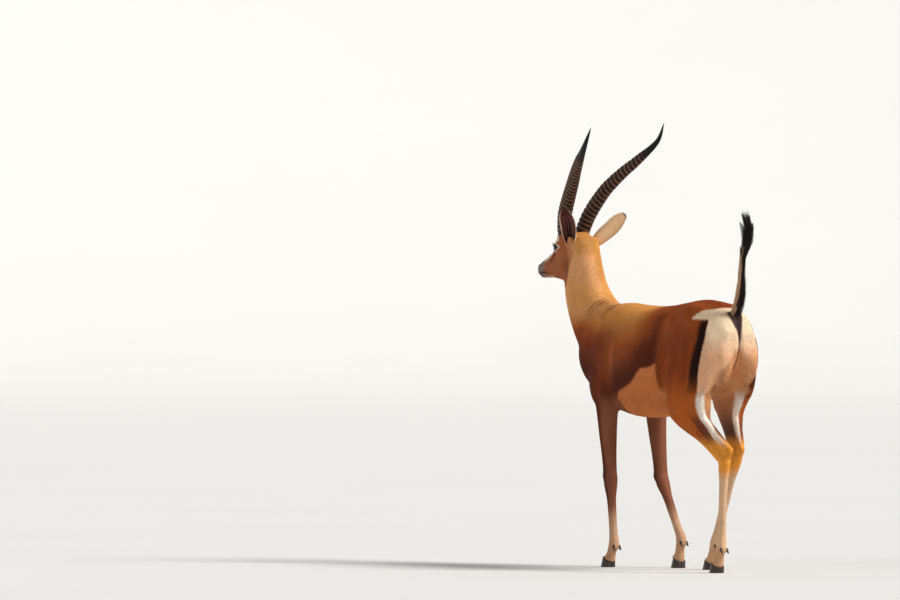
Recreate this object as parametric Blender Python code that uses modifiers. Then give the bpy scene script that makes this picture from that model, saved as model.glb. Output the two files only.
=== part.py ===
# A life-size male Grant's gazelle, walking with its head turned a little to its left and its tail raised.
# Metres, +Z up. The animal faces -Y, its left side is +X, and its hooves stand on z = 0.
# In the comments and tables, u is the distance forward from the buttocks and s the distance to the left.
import math
import random

import bmesh
import bpy
from mathutils import Matrix, Vector

# Driving sizes
GAP = 0.0003
BODY_VOXEL = 0.005
HEAD_VOXEL = 0.0022
BODY_TRIANGLES = 6150
HEAD_TRIANGLES = 1850
SPINE_BEND = 0.28
BEND_START = 0.40
WALK_SEED = 7

# Torso sections from buttocks to chest: u, top, bottom, half width, height of the widest point
TORSO = (
    (-0.004, 0.795, 0.740, 0.034, 0.768),
    (0.022, 0.842, 0.690, 0.068, 0.762),
    (0.070, 0.876, 0.640, 0.092, 0.757),
    (0.150, 0.898, 0.598, 0.110, 0.750),
    (0.240, 0.901, 0.572, 0.114, 0.740),
    (0.335, 0.892, 0.545, 0.117, 0.722),
    (0.430, 0.882, 0.518, 0.134, 0.705),
    (0.520, 0.879, 0.505, 0.142, 0.700),
    (0.615, 0.884, 0.506, 0.132, 0.700),
    (0.700, 0.892, 0.522, 0.111, 0.705),
    (0.780, 0.875, 0.556, 0.096, 0.710),
    (0.850, 0.830, 0.606, 0.078, 0.715),
    (0.895, 0.780, 0.660, 0.050, 0.720),
)
# Neck sections: u, s, height, half depth, half width
NECK = (
    (0.760, 0.000, 0.700, 0.125, 0.082),
    (0.815, 0.000, 0.770, 0.125, 0.084),
    (0.863, 0.000, 0.830, 0.114, 0.078),
    (0.895, 0.001, 0.885, 0.103, 0.072),
    (0.913, 0.003, 0.940, 0.093, 0.067),
    (0.920, 0.004, 0.995, 0.083, 0.062),
    (0.922, 0.005, 1.045, 0.073, 0.057),
    (0.920, 0.007, 1.085, 0.064, 0.051),
    (0.922, 0.007, 1.112, 0.046, 0.042),
)
# Head: where the back of the skull lies (u, left of the spine's plane, height), and how it turns
SKULL = (0.921, 0.007, 1.070)
HEAD_YAW = math.radians(3)
HEAD_PITCH = math.radians(8)
# Head sections in its own frame: distance forward, top, bottom, half width, height of the widest point
HEAD = (
    (-0.040, 0.030, -0.045, 0.036, -0.005),
    (-0.012, 0.053, -0.080, 0.050, -0.005),
    (0.020, 0.062, -0.100, 0.056, 0.000),
    (0.050, 0.062, -0.108, 0.057, 0.004),
    (0.082, 0.054, -0.104, 0.052, 0.006),
    (0.113, 0.041, -0.094, 0.043, 0.000),
    (0.144, 0.028, -0.084, 0.036, -0.014),
    (0.175, 0.018, -0.075, 0.0295, -0.024),
    (0.206, 0.009, -0.068, 0.0265, -0.030),
    (0.237, 0.000, -0.063, 0.0255, -0.034),
    (0.259, -0.008, -0.058, 0.0235, -0.036),
    (0.274, -0.018, -0.051, 0.0165, -0.038),
)
EYE_RADIUS = 0.0192
EYE_AT = (0.086, 0.0410, 0.019)
EYE_LOOK = (0.34, 0.93, 0.06)
EAR_LENGTH = 0.166
EAR_HALF_WIDTH = 0.0275
EAR_SKIN = 0.003
# Horn curve from its root, in the head's yaw but level: up, back, outward
HORN = (
    (-0.034, -0.012, -0.007),
    (0.000, 0.000, 0.000),
    (0.061, 0.026, 0.014),
    (0.128, 0.082, 0.030),
    (0.164, 0.122, 0.043),
    (0.202, 0.172, 0.062),
    (0.240, 0.230, 0.084),
    (0.294, 0.306, 0.108),
    (0.350, 0.346, 0.110),
)
HORN_ROOT = (0.055, 0.035, 0.066)
HORN_HALF_DEPTH = 0.0265
HORN_HALF_WIDTH = 0.0210
HORN_RINGS = 24
RINGED_SHARE = 0.80
# Tail line: u, height; the tuft begins at the sixth point
TAIL = (
    (0.075, 0.800),
    (0.035, 0.845),
    (0.008, 0.890),
    (-0.006, 0.940),
    (-0.012, 0.995),
    (-0.020, 1.040),
    (-0.042, 1.080),
    (-0.056, 1.115),
    (-0.048, 1.152),
    (-0.026, 1.186),
)
TAIL_GIRTH = (0.022, 0.0235, 0.0195, 0.0135, 0.0100, 0.0090, 0.0080, 0.0060, 0.0040, 0.0015)
TUFT_LOCKS = 10
TUFT_START = 5.0
# Leg joints: u, s, height. Hind legs: hip, stifle, hock, fetlock, sole
HINDLEG_LEFT = (
    (0.200, 0.070, 0.790),
    (0.235, 0.105, 0.555),
    (-0.036, 0.080, 0.378),
    (0.003, 0.069, 0.092),
    (0.036, 0.068, 0.000),
)
HINDLEG_RIGHT = (
    (0.205, -0.070, 0.790),
    (0.300, -0.105, 0.572),
    (0.165, -0.080, 0.378),
    (0.284, -0.069, 0.094),
    (0.320, -0.068, 0.000),
)
# Forelegs: shoulder, elbow, knee, fetlock, sole
FORELEG_LEFT = (
    (0.800, 0.056, 0.700),
    (0.705, 0.088, 0.565),
    (0.695, 0.079, 0.300),
    (0.688, 0.070, 0.084),
    (0.720, 0.070, 0.000),
)
FORELEG_RIGHT = (
    (0.790, -0.056, 0.700),
    (0.690, -0.088, 0.565),
    (0.640, -0.078, 0.302),
    (0.512, -0.070, 0.100),
    (0.530, -0.070, 0.000),
)
LEGS = {
    "hindleg_left": HINDLEG_LEFT,
    "hindleg_right": HINDLEG_RIGHT,
    "foreleg_left": FORELEG_LEFT,
    "foreleg_right": FORELEG_RIGHT,
}
# Girths along a leg: bone, share of the bone, shift back, half depth, half width
HIND_GIRTHS = (
    (0, -0.16, 0.040, 0.100, 0.040),
    (0, 0.10, 0.045, 0.138, 0.047),
    (0, 0.40, 0.045, 0.148, 0.052),
    (0, 0.70, 0.047, 0.133, 0.051),
    (0, 0.95, 0.050, 0.100, 0.046),
    (1, 0.22, 0.037, 0.066, 0.039),
    (1, 0.50, 0.026, 0.041, 0.033),
    (1, 0.72, 0.014, 0.031, 0.026),
    (1, 0.90, 0.004, 0.027, 0.022),
    (2, 0.00, 0.000, 0.0265, 0.0205),
    (2, 0.12, 0.000, 0.0220, 0.0180),
    (2, 0.28, 0.000, 0.0170, 0.0148),
    (2, 0.60, 0.000, 0.0158, 0.0138),
    (2, 0.88, 0.000, 0.0168, 0.0150),
    (3, 0.00, 0.000, 0.0205, 0.0178),
    (3, 0.35, 0.000, 0.0165, 0.0160),
    (3, 0.65, 0.000, 0.0195, 0.0188),
    (3, 0.95, 0.000, 0.0210, 0.0195),
)
FORE_GIRTHS = (
    (0, 0.10, 0.000, 0.050, 0.024),
    (0, 0.45, 0.000, 0.064, 0.036),
    (0, 0.75, 0.000, 0.064, 0.041),
    (1, 0.00, 0.004, 0.054, 0.039),
    (1, 0.15, 0.003, 0.046, 0.035),
    (1, 0.40, 0.000, 0.0375, 0.0295),
    (1, 0.70, 0.000, 0.0295, 0.0245),
    (1, 0.90, 0.000, 0.0255, 0.0232),
    (2, 0.00, 0.000, 0.0260, 0.0245),
    (2, 0.15, 0.000, 0.0230, 0.0215),
    (2, 0.32, 0.000, 0.0182, 0.0162),
    (2, 0.62, 0.000, 0.0162, 0.0143),
    (2, 0.88, 0.000, 0.0168, 0.0148),
    (3, 0.00, 0.000, 0.0203, 0.0175),
    (3, 0.35, 0.000, 0.0163, 0.0157),
    (3, 0.65, 0.000, 0.0192, 0.0185),
    (3, 0.95, 0.000, 0.0208, 0.0192),
)
# Muscles and bony points raised on the trunk:
# u, s, height, half length, half width, half height, tilt in degrees
MUSCLES = (
    (0.722, 0.066, 0.745, 0.075, 0.034, 0.120, 18),
    (0.700, 0.066, 0.650, 0.090, 0.042, 0.090, -15),
    (0.795, 0.048, 0.690, 0.060, 0.036, 0.078, 0),
    (0.300, 0.082, 0.826, 0.045, 0.022, 0.028, 0),
    (0.190, 0.055, 0.815, 0.115, 0.052, 0.078, 0),
    (0.050, 0.048, 0.715, 0.056, 0.042, 0.105, 0),
    (0.022, 0.040, 0.780, 0.028, 0.024, 0.036, 0),
)
HOOF_LENGTH = 0.064
CLAW_WIDTH = 0.0205
CORONET_HEIGHT = 0.031
CORONET_SLOPE = 0.35


def bend(u):
    # The spine curves to the left in front of the loins.
    return SPINE_BEND * max(0.0, u - BEND_START) ** 2


def at(u, s, z):
    return Vector((s + bend(u), -u, z))


SKULL_FRAME = Matrix.Translation(at(*SKULL)) @ Matrix.Rotation(HEAD_YAW, 4, "Z")
HEAD_FRAME = SKULL_FRAME @ Matrix.Rotation(HEAD_PITCH, 4, "X")


def in_head(forward, left, up):
    return HEAD_FRAME @ Vector((left, -forward, up))


def spread(rows, per_span):
    # A Catmull-Rom curve through rows of numbers, with per_span steps between two rows.
    rows = [Vector(row) for row in rows]
    rows = [2 * rows[0] - rows[1], *rows, 2 * rows[-1] - rows[-2]]
    found = []
    for before, start, end, after in zip(rows, rows[1:], rows[2:], rows[3:]):
        for step in range(per_span):
            t = step / per_span
            found.append(
                start
                + (end - before) * (t / 2)
                + (2 * before - 5 * start + 4 * end - after) * (t * t / 2)
                + (3 * start - before - 3 * end + after) * (t**3 / 2)
            )
    return [*found, rows[-2]]


def add_tube(bm, rings):
    # A closed tube through rings of points.
    rows = [[bm.verts.new(point) for point in ring] for ring in rings]
    faces = [bm.faces.new(rows[0]), bm.faces.new(rows[-1][::-1])]
    for low, high in zip(rows, rows[1:]):
        for i, corner in enumerate(low):
            j = (i + 1) % len(low)
            faces.append(bm.faces.new((corner, high[i], high[j], low[j])))
    bmesh.ops.recalc_face_normals(bm, faces=faces)


def add_limb(bm, stations, sides=20, across=(1, 0, 0)):
    # Stations are (centre, half depth, half width). A ring stands square to the line, its width along across.
    rings = []
    for i, (centre, depth, width) in enumerate(stations):
        along = stations[min(i + 1, len(stations) - 1)][0] - stations[max(i - 1, 0)][0]
        along.normalize()
        side = Vector(across)
        side = (side - along * side.dot(along)).normalized()
        fore = along.cross(side)
        turns = [2 * math.pi * k / sides for k in range(sides)]
        rings.append([centre + side * (width * math.cos(a)) + fore * (depth * math.sin(a)) for a in turns])
    add_tube(bm, rings)


def add_strand(bm, start, end, start_radius, end_radius, sides=12):
    # A tapered rod with rounded ends, for tendons and small bones.
    way = (end - start).normalized()
    stations = []
    for angle in (-80, -45, 0):
        turn = math.radians(angle)
        stations.append((start + way * (start_radius * math.sin(turn)), start_radius * math.cos(turn)))
    for angle in (0, 45, 80):
        turn = math.radians(angle)
        stations.append((end + way * (end_radius * math.sin(turn)), end_radius * math.cos(turn)))
    add_limb(bm, [(centre, radius, radius) for centre, radius in stations], sides)


def add_ball(bm, place, radii, segments=20, rows=12):
    size = Matrix.Diagonal((*radii, 1))
    bmesh.ops.create_uvsphere(bm, u_segments=segments, v_segments=rows, radius=1, matrix=place @ size)


def section(left, top, bottom, half_width, widest, sides=28, roundness=2.3):
    # The outline of a trunk or head section as (left, up) points.
    # It is rounder than a box and fuller than an ellipse.
    points = []
    for k in range(sides):
        angle = 2 * math.pi * k / sides
        across = math.copysign(abs(math.cos(angle)) ** (2 / roundness), math.cos(angle))
        rise = math.copysign(abs(math.sin(angle)) ** (2 / roundness), math.sin(angle))
        reach = top - widest if rise > 0 else widest - bottom
        points.append((left + half_width * across, widest + reach * rise))
    return points


def new_object(name, bm):
    mesh = bpy.data.meshes.new(name)
    bm.to_mesh(mesh)
    bm.free()
    made = bpy.data.objects.new(name, mesh)
    bpy.context.scene.collection.objects.link(made)
    return made


def settle(obj):
    # The object's modifiers become its mesh.
    bpy.context.view_layer.update()
    graph = bpy.context.evaluated_depsgraph_get()
    mesh = bpy.data.meshes.new_from_object(obj.evaluated_get(graph))
    old = obj.data
    obj.modifiers.clear()
    obj.data = mesh
    bpy.data.meshes.remove(old)
    return obj


def combine(obj, tool, operation, solver="EXACT"):
    modifier = obj.modifiers.new(operation.title(), "BOOLEAN")
    modifier.operation = operation
    modifier.solver = solver
    modifier.object = tool
    settle(obj)
    bpy.data.objects.remove(tool)
    return keep_largest(obj)


def keep_largest(obj):
    # Only the largest closed surface stays.
    bm = bmesh.new()
    bm.from_mesh(obj.data)
    left = set(bm.faces)
    shells = []
    while left:
        shell = set()
        front = [left.pop()]
        while front:
            face = front.pop()
            shell.add(face)
            for edge in face.edges:
                for other in edge.link_faces:
                    if other in left:
                        left.remove(other)
                        front.append(other)
        shells.append(shell)
    shells.sort(key=lambda shell: sum(face.calc_area() for face in shell))
    scraps = [face for shell in shells[:-1] for face in shell]
    bmesh.ops.delete(bm, geom=scraps, context="FACES")
    bm.to_mesh(obj.data)
    bm.free()
    return obj


def copy_of(obj, name):
    made = bpy.data.objects.new(name, obj.data.copy())
    bpy.context.scene.collection.objects.link(made)
    return made


def grown(obj):
    # A copy that stands GAP proud all over, to cut a neighbour with.
    made = copy_of(obj, "Grown")
    modifier = made.modifiers.new("Grow", "DISPLACE")
    modifier.strength = GAP
    modifier.mid_level = 0
    return settle(made)


def wedge(planes, shift=0.0):
    # The convex solid behind all the planes, each (point, normal), moved out by shift.
    bm = bmesh.new()
    bmesh.ops.create_cube(bm, size=6)
    for point, normal in planes:
        normal = normal.normalized()
        everything = [*bm.verts, *bm.edges, *bm.faces]
        bmesh.ops.bisect_plane(
            bm, geom=everything, plane_co=point + normal * shift, plane_no=normal, clear_outer=True
        )
        rim = [edge for edge in bm.edges if edge.is_boundary]
        bmesh.ops.contextual_create(bm, geom=rim)
    bmesh.ops.recalc_face_normals(bm, faces=bm.faces)
    return new_object("Wedge", bm)


def split_off(body, name, planes):
    # The part of body inside the planes leaves it, with GAP between the two.
    piece = combine(copy_of(body, name), wedge(planes, -GAP), "INTERSECT")
    combine(body, wedge(planes), "DIFFERENCE")
    return piece


def leg_stations(joints, girths):
    joints = [at(*joint) for joint in joints]
    rows = []
    for bone, share, back, depth, width in girths:
        centre = joints[bone].lerp(joints[bone + 1], share) + Vector((0, back, 0))
        rows.append((*centre, depth, width))
    return [(Vector(row[:3]), row[3], row[4]) for row in map(tuple, spread_rows(rows, 3))]


def spread_rows(rows, per_span):
    # Like spread, for rows of more than four numbers.
    places = spread([row[:3] for row in rows], per_span)
    sizes = spread([row[3:] for row in rows], per_span)
    return [(*place, *size) for place, size in zip(places, sizes)]


def add_torso(bm):
    rings = []
    for u, top, bottom, half_width, widest in spread_rows(TORSO, 3):
        outline = section(0, top, bottom, half_width, widest)
        rings.append([at(u, s, z) for s, z in outline])
    add_tube(bm, rings)
    for u, s, z, length, width, height, tilt in MUSCLES:
        for side in (1, -1):
            place = Matrix.Translation(at(u, side * s, z)) @ Matrix.Rotation(math.radians(tilt), 4, "X")
            add_ball(bm, place, (width, length, height))
    brisket = Matrix.Translation(at(0.845, 0, 0.690))
    add_ball(bm, brisket, (0.056, 0.060, 0.095))


def add_neck(bm):
    rows = spread_rows([(*at(u, s, z), depth, width) for u, s, z, depth, width in NECK], 3)
    add_limb(bm, [(Vector(row[:3]), row[3], row[4]) for row in rows], 28)


def add_head(bm):
    rings = []
    for forward, top, bottom, half_width, widest in spread_rows(HEAD, 3):
        outline = section(0, top, bottom, half_width, widest, roundness=2.15)
        rings.append([in_head(forward, left, up) for left, up in outline])
    add_tube(bm, rings)


def add_legs(bm):
    for name, joints in LEGS.items():
        hind = name.startswith("hind")
        add_limb(bm, leg_stations(joints, HIND_GIRTHS if hind else FORE_GIRTHS))
        middle, low = (at(*joint) for joint in joints[2:4])
        if hind:
            point_of_hock = middle + Vector((0, 0.034, 0.030))
            add_strand(bm, middle + Vector((0, 0.004, 0)), point_of_hock, 0.019, 0.0135)
            stifle = at(*joints[1])
            calf = stifle.lerp(middle, 0.35) + Vector((0, 0.060, 0.012))
            add_strand(bm, point_of_hock, calf, 0.0115, 0.022)
            kneecap = stifle + Vector((0, -0.016, 0.010))
            add_strand(bm, kneecap, kneecap + Vector((0, 0.004, -0.040)), 0.030, 0.026)
            ham = at(*joints[0]).lerp(stifle, 0.72) + Vector((0, 0.125, 0))
            gaskin = stifle.lerp(middle, 0.45) + Vector((0, 0.026, 0.010))
            add_strand(bm, ham, gaskin, 0.044, 0.027)
        else:
            elbow = at(*joints[1])
            add_strand(bm, elbow + Vector((0, 0.036, 0.012)), elbow + Vector((0, 0.020, -0.03)), 0.022, 0.020)
            back_of_knee = middle + Vector((0, 0.012, -0.004))
            add_strand(bm, back_of_knee, back_of_knee + Vector((0, 0.002, -0.010)), 0.014, 0.012)
        heel = low + Vector((0, 0.010, -0.006))
        add_strand(bm, heel, heel + Vector((0, 0.003, -0.010)), 0.0135, 0.0115)


def smoothed(obj, rounds, limb_share):
    # Softens the trunk fully and the thin legs by limb_share.
    trunk = obj.vertex_groups.new(name="trunk")
    for vertex in obj.data.vertices:
        rise = min(1.0, max(0.0, (vertex.co.z - 0.42) / 0.14))
        trunk.add([vertex.index], limb_share + (1 - limb_share) * rise, "REPLACE")
    modifier = obj.modifiers.new("Soften", "SMOOTH")
    modifier.factor = 0.6
    modifier.iterations = rounds
    modifier.vertex_group = trunk.name
    settle(obj)
    obj.vertex_groups.clear()
    return obj


def remeshed(obj, voxel):
    modifier = obj.modifiers.new("Fuse", "REMESH")
    modifier.mode = "VOXEL"
    modifier.voxel_size = voxel
    modifier.use_smooth_shade = True
    return settle(obj)


def thinned(obj, triangles):
    obj.data.calc_loop_triangles()
    modifier = obj.modifiers.new("Thin", "DECIMATE")
    modifier.ratio = min(1.0, triangles / len(obj.data.loop_triangles))
    modifier.use_collapse_triangulate = True
    return settle(obj)


def fused_body():
    bm = bmesh.new()
    add_torso(bm)
    add_neck(bm)
    add_head(bm)
    add_legs(bm)
    body = remeshed(new_object("Body", bm), BODY_VOXEL)
    keep_largest(smoothed(body, 26, 0.12))
    return thinned(body, BODY_TRIANGLES)


def fused_head():
    bm = bmesh.new()
    add_head(bm)
    add_neck(bm)
    for side in (1, -1):
        add_face_forms(bm, side)
    head = remeshed(new_object("Head", bm), HEAD_VOXEL)
    keep_largest(smoothed(head, 12, 1.0))
    head = combine(head, wedge(head_planes(), -GAP), "INTERSECT")
    return thinned(head, HEAD_TRIANGLES)


def eye_frame(side):
    # Placed at the eyeball's centre, with +Z along its gaze.
    forward, left, up = EYE_LOOK
    gaze = HEAD_FRAME.to_3x3() @ Vector((side * left, -forward, up))
    turn = gaze.normalized().to_track_quat("Z", "Y").to_matrix().to_4x4()
    forward, left, up = EYE_AT
    return Matrix.Translation(in_head(forward, side * left, up)) @ turn


def add_face_forms(bm, side):
    def ball(forward, left, up, length, width, height, tilt=0.0):
        place = HEAD_FRAME @ Matrix.Translation((side * left, -forward, up))
        add_ball(bm, place @ Matrix.Rotation(math.radians(tilt), 4, "X"), (width, length, height), 24, 16)

    ball(0.082, 0.037, 0.021, 0.030, 0.022, 0.027)
    ball(0.076, 0.039, 0.038, 0.026, 0.019, 0.013, 8)
    ball(0.056, 0.031, -0.052, 0.054, 0.0245, 0.052, 20)
    ball(0.118, 0.029, -0.020, 0.056, 0.011, 0.014, 10)
    ball(0.250, 0.010, -0.029, 0.022, 0.0160, 0.017)
    ball(0.224, 0.0120, -0.0555, 0.036, 0.0135, 0.0095, 4)
    ball(0.004, 0.044, 0.020, 0.024, 0.016, 0.022)
    # The bony core that the horn grows from
    ball(0.053, 0.032, 0.046, 0.037, 0.026, 0.028)
    lids = eye_frame(side)
    turns = 18
    ring = []
    for k in range(turns):
        angle = 2 * math.pi * k / turns
        across = Vector((math.cos(angle) * 0.0188, math.sin(angle) * 0.0148, 0.0100))
        ring.append(lids @ across)
    for start, end in zip(ring, ring[1:] + ring[:1]):
        add_strand(bm, start, end, 0.0036, 0.0036, 8)


def head_planes():
    # Between head and neck: one plane behind the ears and jaw, one under the throat.
    # Both normals leave the head.
    turn = HEAD_FRAME.to_3x3()
    return [
        (in_head(-0.030, 0, 0.030), turn @ Vector((0, 0.90, -0.44))),
        (in_head(0.040, 0, -0.122), turn @ Vector((0, -0.25, -0.97))),
    ]


def neck_plane(sign):
    # Between neck and trunk, from the withers to the chest. The normal points to the neck for +1.
    return at(0.812, 0, 0.832), Vector((0, -0.45, 0.89)) * sign


def leg_planes(name):
    joints = LEGS[name]
    side = 1 if "left" in name else -1
    middle = Vector((0, 0, 0)) if "hind" in name else at(joints[1][0], 0, 0)
    inner = (middle, Vector((-side, 0, 0)))
    if "hind" in name:
        reach = joints[1][0] + 0.088
        top = (at(0.15, side * 0.020, 0.556), Vector((-side * 1.04, -0.3, 1)))
        return [inner, top, (Vector((0, -reach, 0)), Vector((0, -1, 0)))]
    elbow = joints[1][0]
    top = (at(elbow, side * 0.030, 0.503), Vector((-side * 1.15, 0.3, 1)))
    back = (Vector((0, -0.425, 0)), Vector((0, 1, 0.36)))
    front = (Vector((0, -0.082 - elbow, 0)), Vector((0, -1, 0)))
    return [inner, top, back, front]


def knee_plane(joints, hind):
    # Across the leg just above the hock, or through the knee of a foreleg.
    # The normal points down the leg.
    share = 0.80 if hind else 0.86
    upper, lower = at(*joints[1]), at(*joints[2])
    return upper.lerp(lower, share), (lower - upper).normalized()


def coronet_plane(joints):
    # The slanted plane between pastern and hoof, higher in front. The normal points up.
    sole = at(*joints[4])
    return sole + Vector((0, 0, CORONET_HEIGHT)), Vector((0, CORONET_SLOPE, 1))


def make_leg(body, name):
    joints = LEGS[name]
    leg = split_off(body, name + "_upper", leg_planes(name))
    point, normal = knee_plane(joints, "hind" in name)
    lower = split_off(leg, name + "_lower", [(point, -normal)])
    point, normal = coronet_plane(joints)
    combine(lower, wedge([(point, -normal)], -GAP), "INTERSECT")
    fetlock = at(*joints[3])
    bm = bmesh.new()
    for side in (1, -1):
        dewclaw = fetlock + Vector((side * 0.010, 0.013, -0.008))
        add_strand(bm, dewclaw, dewclaw + Vector((0, 0.008, -0.010)), 0.0058, 0.0034, 8)
    dewclaws = new_object("Dewclaws", bm)
    combine(lower, dewclaws, "UNION")
    return [leg, lower]


def claw_outline(side, share):
    # One claw seen from above, share 0 at the sole and 1 at the top. Points run round from the heel.
    toe = -0.66 * HOOF_LENGTH * (1 - share) - 0.10 * HOOF_LENGTH * share
    heel = 0.36 * HOOF_LENGTH * (1 - share) + 0.33 * HOOF_LENGTH * share
    width = CLAW_WIDTH * (1 - 0.10 * share)
    cleft = 0.0012
    outer = []
    steps = 7
    for k in range(steps + 1):
        t = k / steps
        bulge = math.sin(math.pi * (0.24 + 0.76 * t)) ** 0.8 if t < 1 else 0.0
        outer.append((side * (cleft + width * bulge), heel + (toe - heel) * t))
    inner = [(side * cleft, toe + (heel - toe) * t) for t in (0.10, 0.45, 0.85, 1.0)]
    return outer + inner


def make_claw(name, joints, side):
    sole = at(*joints[4])
    bm = bmesh.new()
    rings = []
    levels = ((0.0, 0.04), (0.004, 0.0), (0.020, 0.30), (0.040, 0.66), (0.060, 1.0))
    for height, share in levels:
        rings.append([sole + Vector((x, y, height)) for x, y in claw_outline(side, share)])
    add_tube(bm, rings)
    claw = new_object(name, bm)
    point, normal = coronet_plane(joints)
    return combine(claw, wedge([(point, normal)]), "INTERSECT")


def make_horn(name, side, head):
    root = in_head(HORN_ROOT[0], side * HORN_ROOT[1], HORN_ROOT[2])
    turn = SKULL_FRAME.to_3x3()
    line = [root + turn @ Vector((side * out, back, up)) for up, back, out in HORN]
    steps = 2
    count = HORN_RINGS * steps
    curve = spread(line, 12)
    lengths = [0.0]
    for before, after in zip(curve, curve[1:]):
        lengths.append(lengths[-1] + (after - before).length)
    total = lengths[-1]
    shares = [RINGED_SHARE * k / count for k in range(count + 1)] + [0.84, 0.89, 0.94, 0.98, 1.0]
    fore = turn @ Vector((0, -1, 0.35))
    rings = []
    sides = 10
    for k, share in enumerate(shares):
        index = next(i for i, length in enumerate(lengths) if length >= share * total - 1e-9)
        low = max(index - 1, 0)
        span = max(lengths[index] - lengths[low], 1e-9)
        centre = curve[low].lerp(curve[index], min(1.0, (share * total - lengths[low]) / span))
        along = (curve[min(index + 1, len(curve) - 1)] - curve[low]).normalized()
        front = (fore - along * fore.dot(along)).normalized()
        out = along.cross(front)
        girth = max(0.06, (1 - share**1.25) ** 0.75)
        ring = []
        for j in range(sides):
            angle = 2 * math.pi * j / sides
            ridge = 0.0
            if k <= count and k % steps == 1 and k > 1:
                ridge = (0.0024 - 0.0010 * share) * (0.62 + 0.38 * math.cos(angle))
            depth = HORN_HALF_DEPTH * girth + ridge
            width = HORN_HALF_WIDTH * girth + ridge
            ring.append(centre + front * (depth * math.cos(angle)) + out * (width * math.sin(angle)))
        rings.append(ring)
    bm = bmesh.new()
    add_tube(bm, rings)
    return combine(new_object(name, bm), grown(head), "DIFFERENCE")


def make_ear(name, side, head):
    # A cupped leaf: a tube at its root that opens towards the tip.
    if side > 0:
        way, opening = Vector((0.44, 0.56, 0.70)), Vector((0.72, 0.60, -0.30))
    else:
        way, opening = Vector((-0.77, 0.16, 0.62)), Vector((-0.16, -0.95, 0.24))
    way = (HEAD_FRAME.to_3x3() @ way).normalized()
    opening = HEAD_FRAME.to_3x3() @ opening
    opening = (opening - way * opening.dot(way)).normalized()
    across = way.cross(opening)
    base = in_head(0.002, side * 0.046, 0.020)
    rows, columns = 10, 9
    bm = bmesh.new()
    grid = []
    for i in range(rows + 1):
        t = i / rows
        width = EAR_HALF_WIDTH * (0.36 + 0.64 * math.sin(math.pi * min(1.0, t * 0.80 + 0.02)) ** 0.8)
        if t > 0.55:
            width *= math.sqrt(max(0.0, 1 - ((t - 0.55) / 0.45) ** 2.4)) * 0.94 + 0.06
        spread_angle = math.radians(150 - 88 * min(1.0, t * 1.9) ** 0.8)
        radius = width / math.sin(min(spread_angle, math.pi / 2))
        sag = 0.016 * (1 - t) + 0.010 * math.sin(math.pi * t)
        ridge = base + way * (EAR_LENGTH * t - 0.010) - opening * sag
        row = []
        for j in range(columns):
            angle = (2 * j / (columns - 1) - 1) * spread_angle
            sideways = across * (radius * math.sin(angle))
            row.append(bm.verts.new(ridge + sideways + opening * (radius * (1 - math.cos(angle)))))
        grid.append(row)
    for low, high in zip(grid, grid[1:]):
        for j in range(columns - 1):
            bm.faces.new((low[j], low[j + 1], high[j + 1], high[j]))
    bmesh.ops.recalc_face_normals(bm, faces=bm.faces)
    ear = new_object(name, bm)
    thick = ear.modifiers.new("Thick", "SOLIDIFY")
    thick.thickness = EAR_SKIN
    thick.offset = 0
    settle(ear)
    return combine(ear, grown(head), "DIFFERENCE")


def make_eye(name, side):
    bm = bmesh.new()
    add_ball(bm, eye_frame(side), (EYE_RADIUS,) * 3, 16, 9)
    return new_object(name, bm)


def cut_face(head):
    for side in (1, -1):
        bm = bmesh.new()
        add_ball(bm, eye_frame(side), (EYE_RADIUS + GAP,) * 3, 16, 9)
        combine(head, new_object("Socket", bm), "DIFFERENCE")
        bm = bmesh.new()
        nostril = HEAD_FRAME @ Matrix.Translation((side * 0.0150, -0.2690, -0.0240))
        nostril = nostril @ Matrix.Rotation(side * math.radians(28), 4, "Z")
        nostril = nostril @ Matrix.Rotation(math.radians(-25), 4, "X")
        add_ball(bm, nostril, (0.0034, 0.0090, 0.0044), 10, 8)
        combine(head, new_object("Nostril", bm), "DIFFERENCE")
    # The line of the mouth runs on the skin from one corner round the muzzle to the other.
    middle = in_head(0.200, 0, -0.0520)
    line = []
    for k in range(19):
        angle = math.radians(14 * (k - 9))
        way = HEAD_FRAME.to_3x3() @ Vector((math.sin(angle), -math.cos(angle), 0.07 + 0.05 * math.cos(angle)))
        line.append(head.ray_cast(middle, way)[1])
    for _ in range(2):
        inner = [(before + 2 * here + after) / 4 for before, here, after in zip(line, line[1:], line[2:])]
        line = [line[0], *inner, line[-1]]
    laid = [head.ray_cast(middle, place - middle)[1] for place in line]
    bm = bmesh.new()
    add_limb(bm, [(place, 0.0024, 0.0020) for place in laid], 6, (0, 0, 1))
    return combine(head, new_object("Mouth", bm), "DIFFERENCE")


def tail_point(t):
    # The tail's line at t, which counts the points of TAIL from 0.
    curve = spread([(u, z, girth) for (u, z), girth in zip(TAIL, TAIL_GIRTH)], 8)
    low = min(int(t * 8), len(curve) - 2)
    u, z, girth = curve[low].lerp(curve[low + 1], t * 8 - low)
    return at(u, 0, z), girth


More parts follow.
